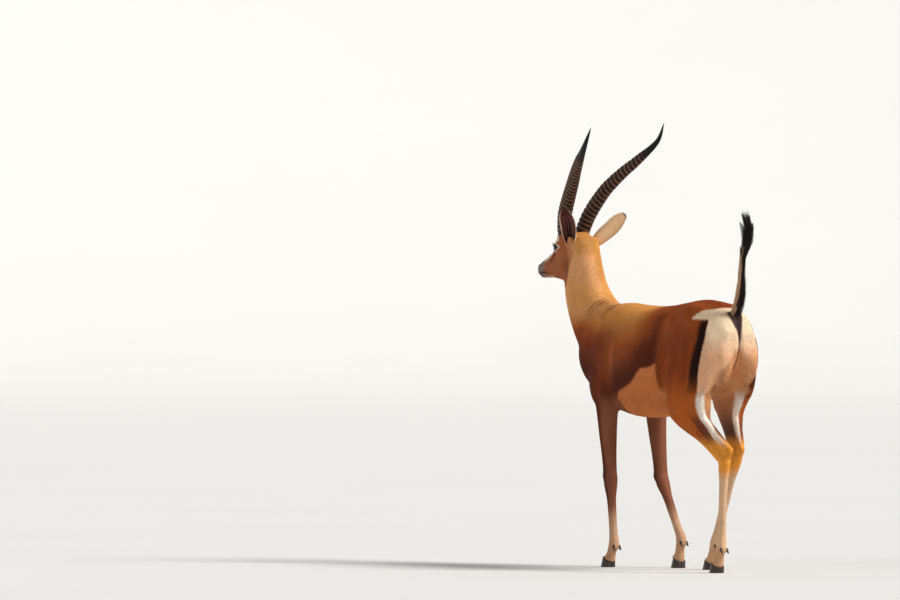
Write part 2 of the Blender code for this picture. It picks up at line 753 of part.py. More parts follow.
def add_lock(bm, rng, start, length, angle):
    # A flat, tapered lock that leaves the tail at start and bends along its line.
    rings = []
    steps = 4
    for k in range(steps + 1):
        t = k / steps
        here = start + length * t
        reach = min(here, len(TAIL) - 1.001)
        centre, girth = tail_point(reach)
        ahead, _ = tail_point(min(reach + 0.2, len(TAIL) - 1.0))
        behind, _ = tail_point(reach - 0.2)
        along = (ahead - behind).normalized()
        centre = centre + along * ((here - reach) * 0.038)
        out = Matrix.Rotation(angle, 3, along) @ Vector((1, 0, 0))
        out = (out - along * out.dot(along)).normalized()
        across = along.cross(out)
        swell = 0.0175 * math.sin(math.pi * min(1.0, 0.12 + t * 0.80)) ** 0.9
        stray = rng.uniform(-0.0015, 0.0015)
        centre = centre + out * (girth * 0.30 + swell * t**0.5 + stray * t)
        wide = across * (0.0105 * (1 - t) ** 0.60 + 0.0006)
        thick = out * (0.0055 * (1 - t) ** 0.60 + 0.0006)
        rings.append([centre + wide, centre + thick, centre - wide, centre - thick])
    add_tube(bm, rings)


def make_tail(torso):
    rng = random.Random(WALK_SEED)
    bm = bmesh.new()
    stations = []
    last = int(TUFT_START + 2.2) * 2
    for k in range(last + 1):
        centre, girth = tail_point(k / 2)
        flat = 0.86 if k / 2 < TUFT_START else 1.0
        stations.append((centre, girth * flat, girth))
    add_limb(bm, stations, 10)
    tail = new_object("tail", bm)
    locks = bpy.data.collections.new("Locks")
    bpy.context.scene.collection.children.link(locks)
    for k in range(TUFT_LOCKS):
        start = TUFT_START - 0.9 + 2.2 * (k / (TUFT_LOCKS - 1)) ** 1.2
        length = rng.uniform(2.3, 2.9) if k < TUFT_LOCKS - 4 else rng.uniform(1.9, 2.6)
        bm = bmesh.new()
        add_lock(bm, rng, start, length, k * 2.399 + rng.uniform(-0.2, 0.2))
        lock = new_object("Lock", bm)
        bpy.context.scene.collection.objects.unlink(lock)
        locks.objects.link(lock)
    join = tail.modifiers.new("Join", "BOOLEAN")
    join.operation = "UNION"
    join.operand_type = "COLLECTION"
    join.collection = locks
    join.solver = "EXACT"
    join.use_self = True
    settle(tail)
    for lock in list(locks.objects):
        bpy.data.objects.remove(lock)
    bpy.data.collections.remove(locks)
    keep_largest(tail)
    return combine(tail, grown(torso), "DIFFERENCE")


def material(name, colour, roughness):
    made = bpy.data.materials.new(name)
    made.use_nodes = True
    shader = made.node_tree.nodes["Principled BSDF"]
    shader.inputs["Base Color"].default_value = (*colour, 1)
    shader.inputs["Roughness"].default_value = roughness
    shader.inputs["Metallic"].default_value = 0
    return made


def finish(objects):
    coat = material("rufous_coat", (0.46, 0.19, 0.06), 0.65)
    pale = material("pale_coat", (0.62, 0.42, 0.24), 0.65)
    black = material("black_hair", (0.02, 0.015, 0.015), 0.6)
    horn = material("horn_keratin", (0.05, 0.028, 0.02), 0.45)
    wet = material("eye_surface", (0.015, 0.008, 0.006), 0.08)
    for obj in objects:
        name = obj.name
        if name.startswith(("horn", "hoof")):
            chosen = horn
        elif name.startswith("eye"):
            chosen = wet
        elif name == "tail":
            chosen = black
        elif name.startswith("ear") or name.endswith("lower"):
            chosen = pale
        else:
            chosen = coat
        obj.data.materials.clear()
        obj.data.materials.append(chosen)
        obj.data.shade_smooth()
        obj.data.set_sharp_from_angle(angle=math.radians(50))


def stand_on_origin(objects):
    # The middle of the model's box comes over the origin.
    points = [vertex.co for obj in objects for vertex in obj.data.vertices]
    middle = [(min(p[k] for p in points) + max(p[k] for p in points)) / 2 for k in (0, 1)]
    move = Matrix.Translation((-middle[0], -middle[1], 0))
    for obj in objects:
        obj.data.transform(move)


def main():
    for obj in list(bpy.data.objects):
        bpy.data.objects.remove(obj)
    head = fused_head()
    head.name = "head"
    objects = [head]
    for word, side in (("left", 1), ("right", -1)):
        objects.append(make_ear("ear_" + word, side, head))
        objects.append(make_horn("horn_" + word, side, head))
        objects.append(make_eye("eye_" + word, side))
    cut_face(head)
    body = fused_body()
    combine(body, wedge(head_planes()), "DIFFERENCE")
    neck = split_off(body, "neck", [neck_plane(-1)])
    objects.append(neck)
    for name in LEGS:
        objects += make_leg(body, name)
        foot = name.replace("hindleg", "hoof_hind").replace("foreleg", "hoof_fore")
        facing = 1 if "left" in name else -1
        objects.append(make_claw(foot + "_outer", LEGS[name], facing))
        objects.append(make_claw(foot + "_inner", LEGS[name], -facing))
    body.name = "torso"
    objects += [body, make_tail(body)]
    finish(objects)
    stand_on_origin(objects)
    animal = bpy.data.collections.new("Gazelle")
    bpy.context.scene.collection.children.link(animal)
    for obj in objects:
        bpy.context.scene.collection.objects.unlink(obj)
        animal.objects.link(obj)


main()
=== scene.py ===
import math

import bmesh
import bpy
import numpy as np
from mathutils import Matrix, Vector


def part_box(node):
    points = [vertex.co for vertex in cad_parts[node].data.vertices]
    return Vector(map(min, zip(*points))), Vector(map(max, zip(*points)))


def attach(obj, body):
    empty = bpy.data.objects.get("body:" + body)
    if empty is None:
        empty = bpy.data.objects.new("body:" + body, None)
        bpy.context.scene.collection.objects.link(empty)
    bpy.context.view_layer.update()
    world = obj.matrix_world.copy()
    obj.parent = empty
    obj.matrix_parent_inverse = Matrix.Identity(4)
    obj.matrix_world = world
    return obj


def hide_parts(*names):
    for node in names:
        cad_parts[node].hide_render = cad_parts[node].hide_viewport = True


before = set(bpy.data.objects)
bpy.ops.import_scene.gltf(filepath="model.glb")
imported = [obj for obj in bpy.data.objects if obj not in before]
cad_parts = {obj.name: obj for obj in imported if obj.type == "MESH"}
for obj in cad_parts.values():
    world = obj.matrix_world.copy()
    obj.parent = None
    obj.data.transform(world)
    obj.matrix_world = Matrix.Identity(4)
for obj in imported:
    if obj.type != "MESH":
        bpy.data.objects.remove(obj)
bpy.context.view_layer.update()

pose = {
    "spineBend": 0.28,
    "bendStart": 0.40,
    "skull": (0.921, 0.007, 1.070),  # u, s and height of the back of the skull
    "headYaw": 3,
    "headPitch": 8,
}
eye = {
    "radius": 0.0192,
    "place": (0.086, 0.0410, 0.019),  # forward, left, up in the head
    "look": (0.34, 0.93, 0.06),
    "openWide": 0.0158,  # half width of the opening between the lids
    "openHigh": 0.0108,
    "lidThickness": 0.0014,
    "rim": (0.0188, 0.0148, 0.0100),  # half width, half height and forward place of the ring of flesh
    "rimThickness": 0.0036,
    "corneaBulge": 0.055,  # as a share of the radius
    "corneaAngle": 44,
}
trunk = {
    # from buttocks to chest: u, top, bottom, half width, height of the widest point
    "sections": (
        (-0.004, 0.795, 0.740, 0.034, 0.768),
        (0.022, 0.842, 0.690, 0.068, 0.762),
        (0.070, 0.876, 0.640, 0.092, 0.757),
        (0.150, 0.898, 0.598, 0.110, 0.750),
        (0.240, 0.901, 0.572, 0.114, 0.740),
        (0.335, 0.892, 0.545, 0.117, 0.722),
        (0.430, 0.882, 0.518, 0.134, 0.705),
        (0.520, 0.879, 0.505, 0.142, 0.700),
        (0.615, 0.884, 0.506, 0.132, 0.700),
        (0.700, 0.892, 0.522, 0.111, 0.705),
        (0.780, 0.875, 0.556, 0.096, 0.710),
        (0.850, 0.830, 0.606, 0.078, 0.715),
        (0.895, 0.780, 0.660, 0.050, 0.720),
    ),
    # muscles and bony points: u, s, height, half length, half width, half height, tilt in degrees
    "muscles": (
        (0.722, 0.066, 0.745, 0.075, 0.034, 0.120, 18),
        (0.700, 0.066, 0.650, 0.090, 0.042, 0.090, -15),
        (0.795, 0.048, 0.690, 0.060, 0.036, 0.078, 0),
        (0.300, 0.082, 0.826, 0.045, 0.022, 0.028, 0),
        (0.190, 0.055, 0.815, 0.115, 0.052, 0.078, 0),
        (0.050, 0.048, 0.715, 0.056, 0.042, 0.105, 0),
        (0.022, 0.040, 0.780, 0.028, 0.024, 0.036, 0),
    ),
    "breast": ((0.845, 0, 0.690), (0.056, 0.060, 0.095)),  # its middle, then half width, length and height
}
neck = {
    # u, s, height, half depth, half width
    "sections": (
        (0.760, 0.000, 0.700, 0.125, 0.082),
        (0.815, 0.000, 0.770, 0.125, 0.084),
        (0.863, 0.000, 0.830, 0.114, 0.078),
        (0.895, 0.001, 0.885, 0.103, 0.072),
        (0.913, 0.003, 0.940, 0.093, 0.067),
        (0.920, 0.004, 0.995, 0.083, 0.062),
        (0.922, 0.005, 1.045, 0.073, 0.057),
        (0.920, 0.007, 1.085, 0.064, 0.051),
        (0.922, 0.007, 1.112, 0.046, 0.042),
    ),
}
skull = {
    # in the head: distance forward, top, bottom, half width, height of the widest point
    "sections": (
        (-0.040, 0.030, -0.045, 0.036, -0.005),
        (-0.012, 0.053, -0.080, 0.050, -0.005),
        (0.020, 0.062, -0.100, 0.056, 0.000),
        (0.050, 0.062, -0.108, 0.057, 0.004),
        (0.082, 0.054, -0.104, 0.052, 0.006),
        (0.113, 0.041, -0.094, 0.043, 0.000),
        (0.144, 0.028, -0.084, 0.036, -0.014),
        (0.175, 0.018, -0.075, 0.0295, -0.024),
        (0.206, 0.009, -0.068, 0.0265, -0.030),
        (0.237, 0.000, -0.063, 0.0255, -0.034),
        (0.259, -0.008, -0.058, 0.0235, -0.036),
        (0.274, -0.018, -0.051, 0.0165, -0.038),
    ),
    # brow, cheek, jaw and lips on each side: forward, left, up, half length, half width, half height, tilt
    "forms": (
        (0.082, 0.037, 0.021, 0.030, 0.022, 0.027, 0),
        (0.076, 0.039, 0.038, 0.026, 0.019, 0.013, 8),
        (0.056, 0.031, -0.052, 0.054, 0.0245, 0.052, 20),
        (0.118, 0.029, -0.020, 0.056, 0.011, 0.014, 10),
        (0.250, 0.010, -0.029, 0.022, 0.0160, 0.017, 0),
        (0.224, 0.0120, -0.0555, 0.036, 0.0135, 0.0095, 4),
        (0.004, 0.044, 0.020, 0.024, 0.016, 0.022, 0),
        (0.053, 0.032, 0.046, 0.037, 0.026, 0.028, 0),
    ),
    "mouth": (-0.0505, 0.10, 0.2),  # height of the lips' line, and how steeply it rises from how far forward
}
legs = {
    # u, s and height of hip, stifle, hock, fetlock and sole, or of shoulder, elbow, knee, fetlock and sole
    "joints": {
        "hindleg_left": (
            (0.200, 0.070, 0.790), (0.235, 0.105, 0.555), (-0.036, 0.080, 0.378),
            (0.003, 0.069, 0.092), (0.036, 0.068, 0.000),
        ),
        "hindleg_right": (
            (0.205, -0.070, 0.790), (0.300, -0.105, 0.572), (0.165, -0.080, 0.378),
            (0.284, -0.069, 0.094), (0.320, -0.068, 0.000),
        ),
        "foreleg_left": (
            (0.800, 0.056, 0.700), (0.705, 0.088, 0.565), (0.695, 0.079, 0.300),
            (0.688, 0.070, 0.084), (0.720, 0.070, 0.000),
        ),
        "foreleg_right": (
            (0.790, -0.056, 0.700), (0.690, -0.088, 0.565), (0.640, -0.078, 0.302),
            (0.512, -0.070, 0.100), (0.530, -0.070, 0.000),
        ),
    },
    # girths along a leg: bone, share of the bone, shift back, half depth, half width
    "hindGirths": (
        (0, -0.16, 0.040, 0.100, 0.040), (0, 0.10, 0.045, 0.138, 0.047), (0, 0.40, 0.045, 0.148, 0.052),
        (0, 0.70, 0.047, 0.133, 0.051), (0, 0.95, 0.050, 0.100, 0.046), (1, 0.22, 0.037, 0.066, 0.039),
        (1, 0.50, 0.026, 0.041, 0.033), (1, 0.72, 0.014, 0.031, 0.026), (1, 0.90, 0.004, 0.027, 0.022),
        (2, 0.00, 0.000, 0.0265, 0.0205), (2, 0.12, 0.000, 0.0220, 0.0180), (2, 0.28, 0.000, 0.0170, 0.0148),
        (2, 0.60, 0.000, 0.0158, 0.0138), (2, 0.88, 0.000, 0.0168, 0.0150), (3, 0.00, 0.000, 0.0205, 0.0178),
        (3, 0.35, 0.000, 0.0165, 0.0160), (3, 0.65, 0.000, 0.0195, 0.0188), (3, 0.95, 0.000, 0.0210, 0.0195),
    ),
    "foreGirths": (
        (0, 0.10, 0.000, 0.050, 0.024), (0, 0.45, 0.000, 0.064, 0.036), (0, 0.75, 0.000, 0.064, 0.041),
        (1, 0.00, 0.004, 0.054, 0.039), (1, 0.15, 0.003, 0.046, 0.035), (1, 0.40, 0.000, 0.0375, 0.0295),
        (1, 0.70, 0.000, 0.0295, 0.0245), (1, 0.90, 0.000, 0.0255, 0.0232), (2, 0.00, 0.000, 0.0260, 0.0245),
        (2, 0.15, 0.000, 0.0230, 0.0215), (2, 0.32, 0.000, 0.0182, 0.0162), (2, 0.62, 0.000, 0.0162, 0.0143),
        (2, 0.88, 0.000, 0.0168, 0.0148), (3, 0.00, 0.000, 0.0203, 0.0175), (3, 0.35, 0.000, 0.0163, 0.0157),
        (3, 0.65, 0.000, 0.0192, 0.0185), (3, 0.95, 0.000, 0.0208, 0.0192),
    ),
}
tail = {
    # u and height along the raised tail, and its half width there
    "line": (
        (0.075, 0.800), (0.035, 0.845), (0.008, 0.890), (-0.006, 0.940), (-0.012, 0.995),
        (-0.020, 1.040), (-0.042, 1.080), (-0.056, 1.115), (-0.048, 1.152), (-0.026, 1.186),
    ),
    "girth": (0.022, 0.0235, 0.0195, 0.0135, 0.0100, 0.0090, 0.0080, 0.0060, 0.0040, 0.0015),
    "dockEnd": 6.6,  # where the flesh ends, counted in the points of line
    "tuftStart": 4.6,
    "tuftHairs": 1700,
    "locks": 34,
    "fringeHairs": 1300,
    "seed": 5,
}
origin = Vector((0, 0, 0))


def bend(u):
    # the spine curves to the left in front of the loins
    return pose["spineBend"] * np.maximum(0.0, u - pose["bendStart"]) ** 2


def at(u, s, z):
    return Vector((s + float(bend(u)), -u, z)) + origin


def headMatrix():
    turn = Matrix.Rotation(math.radians(pose["headYaw"]), 4, "Z")
    return Matrix.Translation(at(*pose["skull"])) @ turn


def eyeFrame(side):
    # placed at the eyeball's centre, with +Z along its gaze
    face = headMatrix() @ Matrix.Rotation(math.radians(pose["headPitch"]), 4, "X")
    forward, left, up = eye["look"]
    gaze = face.to_3x3() @ Vector((side * left, -forward, up))
    turn = gaze.normalized().to_track_quat("Z", "Y").to_matrix().to_4x4()
    forward, left, up = eye["place"]
    return Matrix.Translation(face @ Vector((side * left, -forward, up))) @ turn


low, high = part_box("eye_left")
origin += (low + high) / 2 - eyeFrame(1).translation  # the model stands on the middle of its box
levelHead = headMatrix()
tiltedHead = levelHead @ Matrix.Rotation(math.radians(pose["headPitch"]), 4, "X")


def inHead(forward, left, up):
    return tiltedHead @ Vector((left, -forward, up))


# Small helpers for shapes and numbers

def spread(rows, perSpan):
    # a smooth curve through rows of numbers, with perSpan steps between two rows
    rows = np.array(rows, float)
    rows = np.vstack([2 * rows[0] - rows[1], rows, 2 * rows[-1] - rows[-2]])
    found = []
    for before, start, end, after in zip(rows, rows[1:], rows[2:], rows[3:]):
        for step in range(perSpan):
            t = step / perSpan
            found.append(
                start
                + (end - before) * (t / 2)
                + (2 * before - 5 * start + 4 * end - after) * (t * t / 2)
                + (3 * start - before - 3 * end + after) * (t**3 / 2)
            )
    return np.array([*found, rows[-2]])


def ease(x, low, high):
    # 0 below low, 1 above high, smooth between; low may be the larger of the two
    t = np.clip((x - low) / (high - low), 0.0, 1.0)
    return t * t * (3 - 2 * t)


def bell(x, middle, width):
    return np.exp(-(((x - middle) / width) ** 2))


def addTube(bm, rings, closed=True):
    rows = [[bm.verts.new(tuple(point)) for point in ring] for ring in rings]
    faces = []
    if closed:
        faces += [bm.faces.new(rows[0]), bm.faces.new(rows[-1][::-1])]
    for low, high in zip(rows, rows[1:]):
        for i, corner in enumerate(low):
            j = (i + 1) % len(low)
            faces.append(bm.faces.new((corner, high[i], high[j], low[j])))
    bmesh.ops.recalc_face_normals(bm, faces=faces)
    return rows


def addLimb(bm, stations, sides=24):
    # stations are (centre, half depth, half width); a ring stands square to the line, its width along X
    rings = []
    for i, (centre, depth, width) in enumerate(stations):
        along = stations[min(i + 1, len(stations) - 1)][0] - stations[max(i - 1, 0)][0]
        along.normalize()
        side = Vector((1, 0, 0))
        side = (side - along * side.dot(along)).normalized()
        fore = along.cross(side)
        turns = [2 * math.pi * k / sides for k in range(sides)]
        rings.append([centre + side * (width * math.cos(a)) + fore * (depth * math.sin(a)) for a in turns])
    addTube(bm, rings)


def addStrand(bm, start, end, startRadius, endRadius, sides=16):
    # a tapered rod with rounded ends, for tendons and small bones
    way = (end - start).normalized()
    stations = []
    for place, size, degrees in ((start, startRadius, (-80, -45, 0)), (end, endRadius, (0, 45, 80))):
        for turn in map(math.radians, degrees):
            radius = size * math.cos(turn)
            stations.append((place + way * (size * math.sin(turn)), radius, radius))
    addLimb(bm, stations, sides)


def addBall(bm, place, radii, segments=28, rows=18):
    size = Matrix.Diagonal((*radii, 1))
    bmesh.ops.create_uvsphere(bm, u_segments=segments, v_segments=rows, radius=1, matrix=place @ size)


def section(top, bottom, halfWidth, widest, roundness, sides=36):
    # a trunk or head section as (left, up) points, rounder than a box and fuller than an ellipse
    points = []
    for k in range(sides):
        angle = 2 * math.pi * k / sides
        turn = (math.cos(angle), math.sin(angle))
        across, rise = (math.copysign(abs(value) ** (2 / roundness), value) for value in turn)
        reach = top - widest if rise > 0 else widest - bottom
        points.append((halfWidth * across, widest + reach * rise))
    return points


def addObject(name, data):
    made = bpy.data.objects.new(name, data)
    bpy.context.scene.collection.objects.link(made)
    return made


def newObject(name, bm):
    mesh = bpy.data.meshes.new(name)
    bm.to_mesh(mesh)
    bm.free()
    return addObject(name, mesh)


def settle(obj):
    # the object's modifiers become its mesh
    bpy.context.view_layer.update()
    graph = bpy.context.evaluated_depsgraph_get()
    mesh = bpy.data.meshes.new_from_object(obj.evaluated_get(graph))
    old = obj.data
    obj.modifiers.clear()
    obj.data = mesh
    mesh.name = obj.name
    bpy.data.meshes.remove(old)
    return obj


def readOut(items, field, width=1, kind=np.float32):
    # one row of numbers for each item
    found = np.empty(len(items) * width, kind)
    items.foreach_get(field, found)
    return found.reshape(-1, width) if width > 1 else found


def pointsOf(mesh):
    return readOut(mesh.vertices, "co", 3).astype(float)


def normalsOf(mesh):
    return readOut(mesh.vertex_normals, "vector", 3).astype(float)


def edgesOf(mesh):
    return readOut(mesh.edges, "vertices", 2, np.int32)


def readFloats(mesh, name):
    return readOut(mesh.attributes[name].data, "value").astype(float)


def setPoints(mesh, points):
    mesh.vertices.foreach_set("co", points.astype(np.float32).ravel())
    mesh.update()


def setAttribute(mesh, name, values):
    # a number, a vector of three or a colour of four for each point
    values = np.asarray(values, np.float32)
    kinds = {1: ("FLOAT", "value"), 3: ("FLOAT_VECTOR", "vector"), 4: ("FLOAT_COLOR", "color")}
    kind, field = kinds[1 if values.ndim == 1 else values.shape[1]]
    mesh.attributes.new(name, kind, "POINT").data.foreach_set(field, values.ravel())


def setColours(mesh, colours):
    setAttribute(mesh, "coatColour", np.hstack([colours, np.ones((len(colours), 1))]))


def unit(vectors):
    return vectors / np.maximum(1e-9, np.linalg.norm(vectors, axis=-1))[..., None]


def mix(first, second, share):
    share = np.clip(share, 0, 1)[:, None]
    return first * (1 - share) + second * share


def carried(points, matrix):
    # the points as a matrix moves them
    matrix = np.array(matrix)
    return points @ matrix[:3, :3].T + matrix[:3, 3]


def soften(points, edges, weight, rounds):
    # each round moves a vertex towards the middle of its neighbours, by its weight
    count = len(points)
    a, b = edges.T
    degree = np.maximum(1, np.bincount(a, minlength=count) + np.bincount(b, minlength=count))
    for _ in range(rounds):
        for axis in range(3):
            column = points[:, axis]
            total = np.bincount(a, column[b], count) + np.bincount(b, column[a], count)
            points[:, axis] = column + weight * (total / degree - column)
    return points


# Places on the animal: its own coordinates, regions, legs and the lie of its hair

def bodyPlace(points):
    # u, s and height of points in the world
    local = points - np.array(origin)
    u = -local[:, 1]
    return u, local[:, 0] - bend(u), local[:, 2]


def headPlace(points):
    # forward, left and up in the head
    local = carried(points, tiltedHead.inverted())
    return -local[:, 1], local[:, 0], local[:, 2]


def inEye(points, side):
    # points in the frame of an eye, whose +Z is its gaze
    return carried(points, eyeFrame(side).inverted())


def eyeDistance(points, side):
    return np.linalg.norm(points - np.array(eyeFrame(side).translation), axis=1)


def mouthHeight(forward):
    # the line between the lips
    height, slope, start = skull["mouth"]
    return height + slope * np.maximum(0, forward - start)


def legStations(name):
    joints = [at(*joint) for joint in legs["joints"][name]]
    rows = []
    for bone, share, back, depth, width in legs["hindGirths" if "hind" in name else "foreGirths"]:
        centre = joints[bone].lerp(joints[bone + 1], share) + Vector((0, back, 0))
        rows.append((*centre, depth, width))
    return [(Vector(row[:3]), row[3], row[4]) for row in spread(rows, 3)]


legLines = {}
for legName in legs["joints"]:
    legLines[legName] = np.array([(*centre, *girth) for centre, *girth in legStations(legName)])[::-1]


def legPlace(points, name):
    # how far a point lies to the front (-1 to 1) and to the outside (-1 to 1) of a leg at its height
    line = legLines[name]
    x, y, depth, width = (np.interp(points[:, 2], line[:, 2], line[:, k]) for k in (0, 1, 3, 4))
    side = 1 if "left" in name else -1
    return (y - points[:, 1]) / depth, (points[:, 0] - x) * side / width


def tailPoint(t):
    # a point on the tail's line, t counted in the points of line, and the half width there
    rows = [(u, z, girth) for (u, z), girth in zip(tail["line"], tail["girth"])]
    curve = spread(rows, 8)
    spot = np.clip(np.asarray(t, float) * 8, 0, len(curve) - 1.001)
    low = spot.astype(int)
    share = (spot - low)[..., None]
    row = curve[low] * (1 - share) + curve[low + 1] * share
    u, z, girth = row[..., 0], row[..., 1], row[..., 2]
    return np.stack([bend(u) + origin.x, -u + origin.y, z + origin.z], -1), girth


def headPlanes():
    # between head and neck: behind the ears and jaw, and under the throat; both normals leave the head
    turn = tiltedHead.to_3x3()
    return (
        (inHead(-0.030, 0, 0.030), turn @ Vector((0, 0.90, -0.44))),
        (inHead(0.040, 0, -0.122), turn @ Vector((0, -0.25, -0.97))),
    )


def beyond(points, place, normal):
    normal = np.array(normal.normalized())
    return (points - np.array(place)) @ normal


def headShare(points, near, far):
    # 1 well inside the head and 0 well outside it, changing between two distances from its edge
    share = np.ones(len(points))
    for place, normal in headPlanes():
        share *= ease(beyond(points, place, normal), near, far)
    return share


def regions(points):
    # soft shares of head, neck, legs and tail for each point; what is left is trunk
    u, _, z = bodyPlace(points)
    head = headShare(points, 0.012, -0.012)
    neckPlane = (at(0.812, 0, 0.832), Vector((0, -0.45, 0.89)))
    neckShare = ease(beyond(points, *neckPlane), -0.03, 0.03) * (1 - head)
    leg = ease(z, 0.58, 0.50) * (1 - head)
    tailShare = ease(z, 0.865, 0.895) * ease(u, 0.075, 0.045)
    return {"head": head, "neck": neckShare, "leg": leg, "tail": tailShare}


def faceShare(points):
    # the change from neck to face, slower than the head's own share
    return headShare(points, 0.035, -0.060)


def lieOf(points, normals, share):
    # the way the hair points: back along the trunk, down the neck, rump and legs, back along the face
    u, _, z = bodyPlace(points)
    way = np.array((0.0, 1.0, -0.30))
    for part, direction in (
        (ease(u, 0.20, 0.06), (0.0, 0.25, -1.0)),  # rump
        (ease(u, 0.42, 0.30) * ease(z, 0.80, 0.66), (0.0, 0.65, -0.85)),  # flank
        (ease(normals[:, 2], -0.4, -0.85) * ease(z, 0.62, 0.58), (0.0, 1.0, 0.0)),  # belly
        (np.maximum(share["neck"], share["head"]), (0.0, 0.50, -0.87)),
        (share["leg"], (0.0, 0.12, -1.0)),
        (faceShare(points), tiltedHead.to_3x3() @ Vector((0, 1, 0.12))),
        (share["tail"], (0.0, 0.12, 1.0)),
    ):
        part = part[:, None]
        way = way * (1 - part) + np.array(direction) * part
    way = way - normals * (way * normals).sum(1)[:, None]
    return way / np.maximum(1e-6, np.linalg.norm(way, axis=1))[:, None]


def turnShare(across, along):
    # 0 to 1 round a full turn
    return np.arctan2(across, along) / (2 * math.pi) + 0.5


def unwrap(points, share):
    # where a point lies on the flattened coat: each part of the body has its own strip, cut open underneath
    u, s, z = bodyPlace(points)
    turn = turnShare(s, z - 0.72)
    flat = np.stack([0.005 + 0.50 * np.clip((u + 0.02) / 0.95, 0, 1), 0.01 + 0.98 * turn], 1)
    neckTurn = turnShare(s, 0.905 - u)
    onNeck = np.stack([0.52 + 0.13 * np.clip((z - 0.78) / 0.36, 0, 1), 0.01 + 0.98 * neckTurn], 1)
    forward, left, up = headPlace(points)
    headTurn = turnShare(left, up + 0.03)
    onHead = np.stack([0.665 + 0.15 * np.clip((forward + 0.05) / 0.33, 0, 1), 0.01 + 0.78 * headTurn], 1)
    onTail = np.stack([0.665 + 0.15 * np.clip((z - 0.84) / 0.36, 0, 1), 0.82 + 0.05 * turn], 1)
    flat = np.where(share["neck"][:, None] > 0.5, onNeck, flat)
    for k, name in enumerate(legs["joints"]):
        front, out = legPlace(points, name)
        near = (share["leg"] > 0.5) & (np.abs(out) < 1.6) & (np.abs(front) < 2.0)
        legTurn = turnShare(out, front)
        onLeg = np.stack([0.825 + 0.043 * k + 0.040 * legTurn, 0.01 + 0.98 * np.clip(z / 0.58, 0, 1)], 1)
        flat = np.where(near[:, None], onLeg, flat)
    flat = np.where(share["tail"][:, None] > 0.5, onTail, flat)
    return np.where(share["head"][:, None] > 0.5, onHead, flat)


# The markings and painted shade, which skin and hair share

tones = {  # 0 to 255 in each of red, green and blue
    "rufous": (168, 82, 32),
    "saddle": (140, 62, 22),
    # sandy back, lightened on top as a painted highlight
    "sandAndHighlight": (222, 152, 78),
    # dark band of the lower flank, darkened further as painted shade
    "flankBandAndShade": (78, 28, 13),
    "haunch": (138, 60, 22),
    # the chest's colour darkened as painted shade
    "shadedChest": (94, 38, 19),
    "shoulder": (130, 58, 24),
    "neck": (234, 170, 116),
    # the neck's colour darkened as painted shade
    "shadedNeckFront": (206, 144, 98),
    "nape": (212, 146, 66),
    # the pale belly painted as in shade with warm reflected light
    "shadedBelly": (206, 122, 70),
    "rump": (255, 222, 186),
    "rumpLow": (243, 184, 142),
    "legLine": (252, 234, 216),
    "stripe": (40, 16, 10),
    "bare": (66, 48, 46),
    # pale fur painted tan as in shade
    "shadedInnerThigh": (216, 150, 102),
    # darker still, as deeper painted shade
    "shadedInnerGaskin": (112, 76, 62),
    "gaskin": (188, 97, 38),
    # painted shade in the groove before the hock's tendon
    "hollow": (104, 58, 40),
    "hock": (238, 156, 60),
    "cannon": (226, 184, 146),
    # the foreleg's colours and its knee brush, darkened as painted shade
    "shadedForeFront": (98, 42, 21),
    "shadedForeBack": (138, 84, 60),
    "knee": (78, 43, 33),
    "pastern": (196, 146, 106),
    "cheek": (168, 96, 55),
    "jawShade": (104, 50, 34),
    "forehead": (150, 82, 44),
    "noseBand": (52, 27, 18),
    "faceWhite": (246, 232, 212),
    # the pale muzzle painted grey-brown as in shade
    "shadedMuzzle": (142, 118, 104),
    "chin": (216, 192, 166),
    "lids": (22, 15, 13),
    "tailPale": (200, 160, 124),
    "tailDark": (26, 16, 13),
}


def toLinear(tone):
    value = np.array(tone, float) / 255
    return np.where(value <= 0.04045, value / 12.92, ((value + 0.055) / 1.055) ** 2.4)


def ripple(points, scale, seed):
    # a smooth wavering between -1 and 1
    rng = np.random.default_rng(seed)
    total = np.zeros(len(points))
    for _ in range(5):
        way = rng.normal(size=3)
        way *= scale * rng.uniform(0.6, 1.5) / np.linalg.norm(way)
        total += np.sin(points @ way + rng.uniform(0, 6.28))
    return total / 2.6


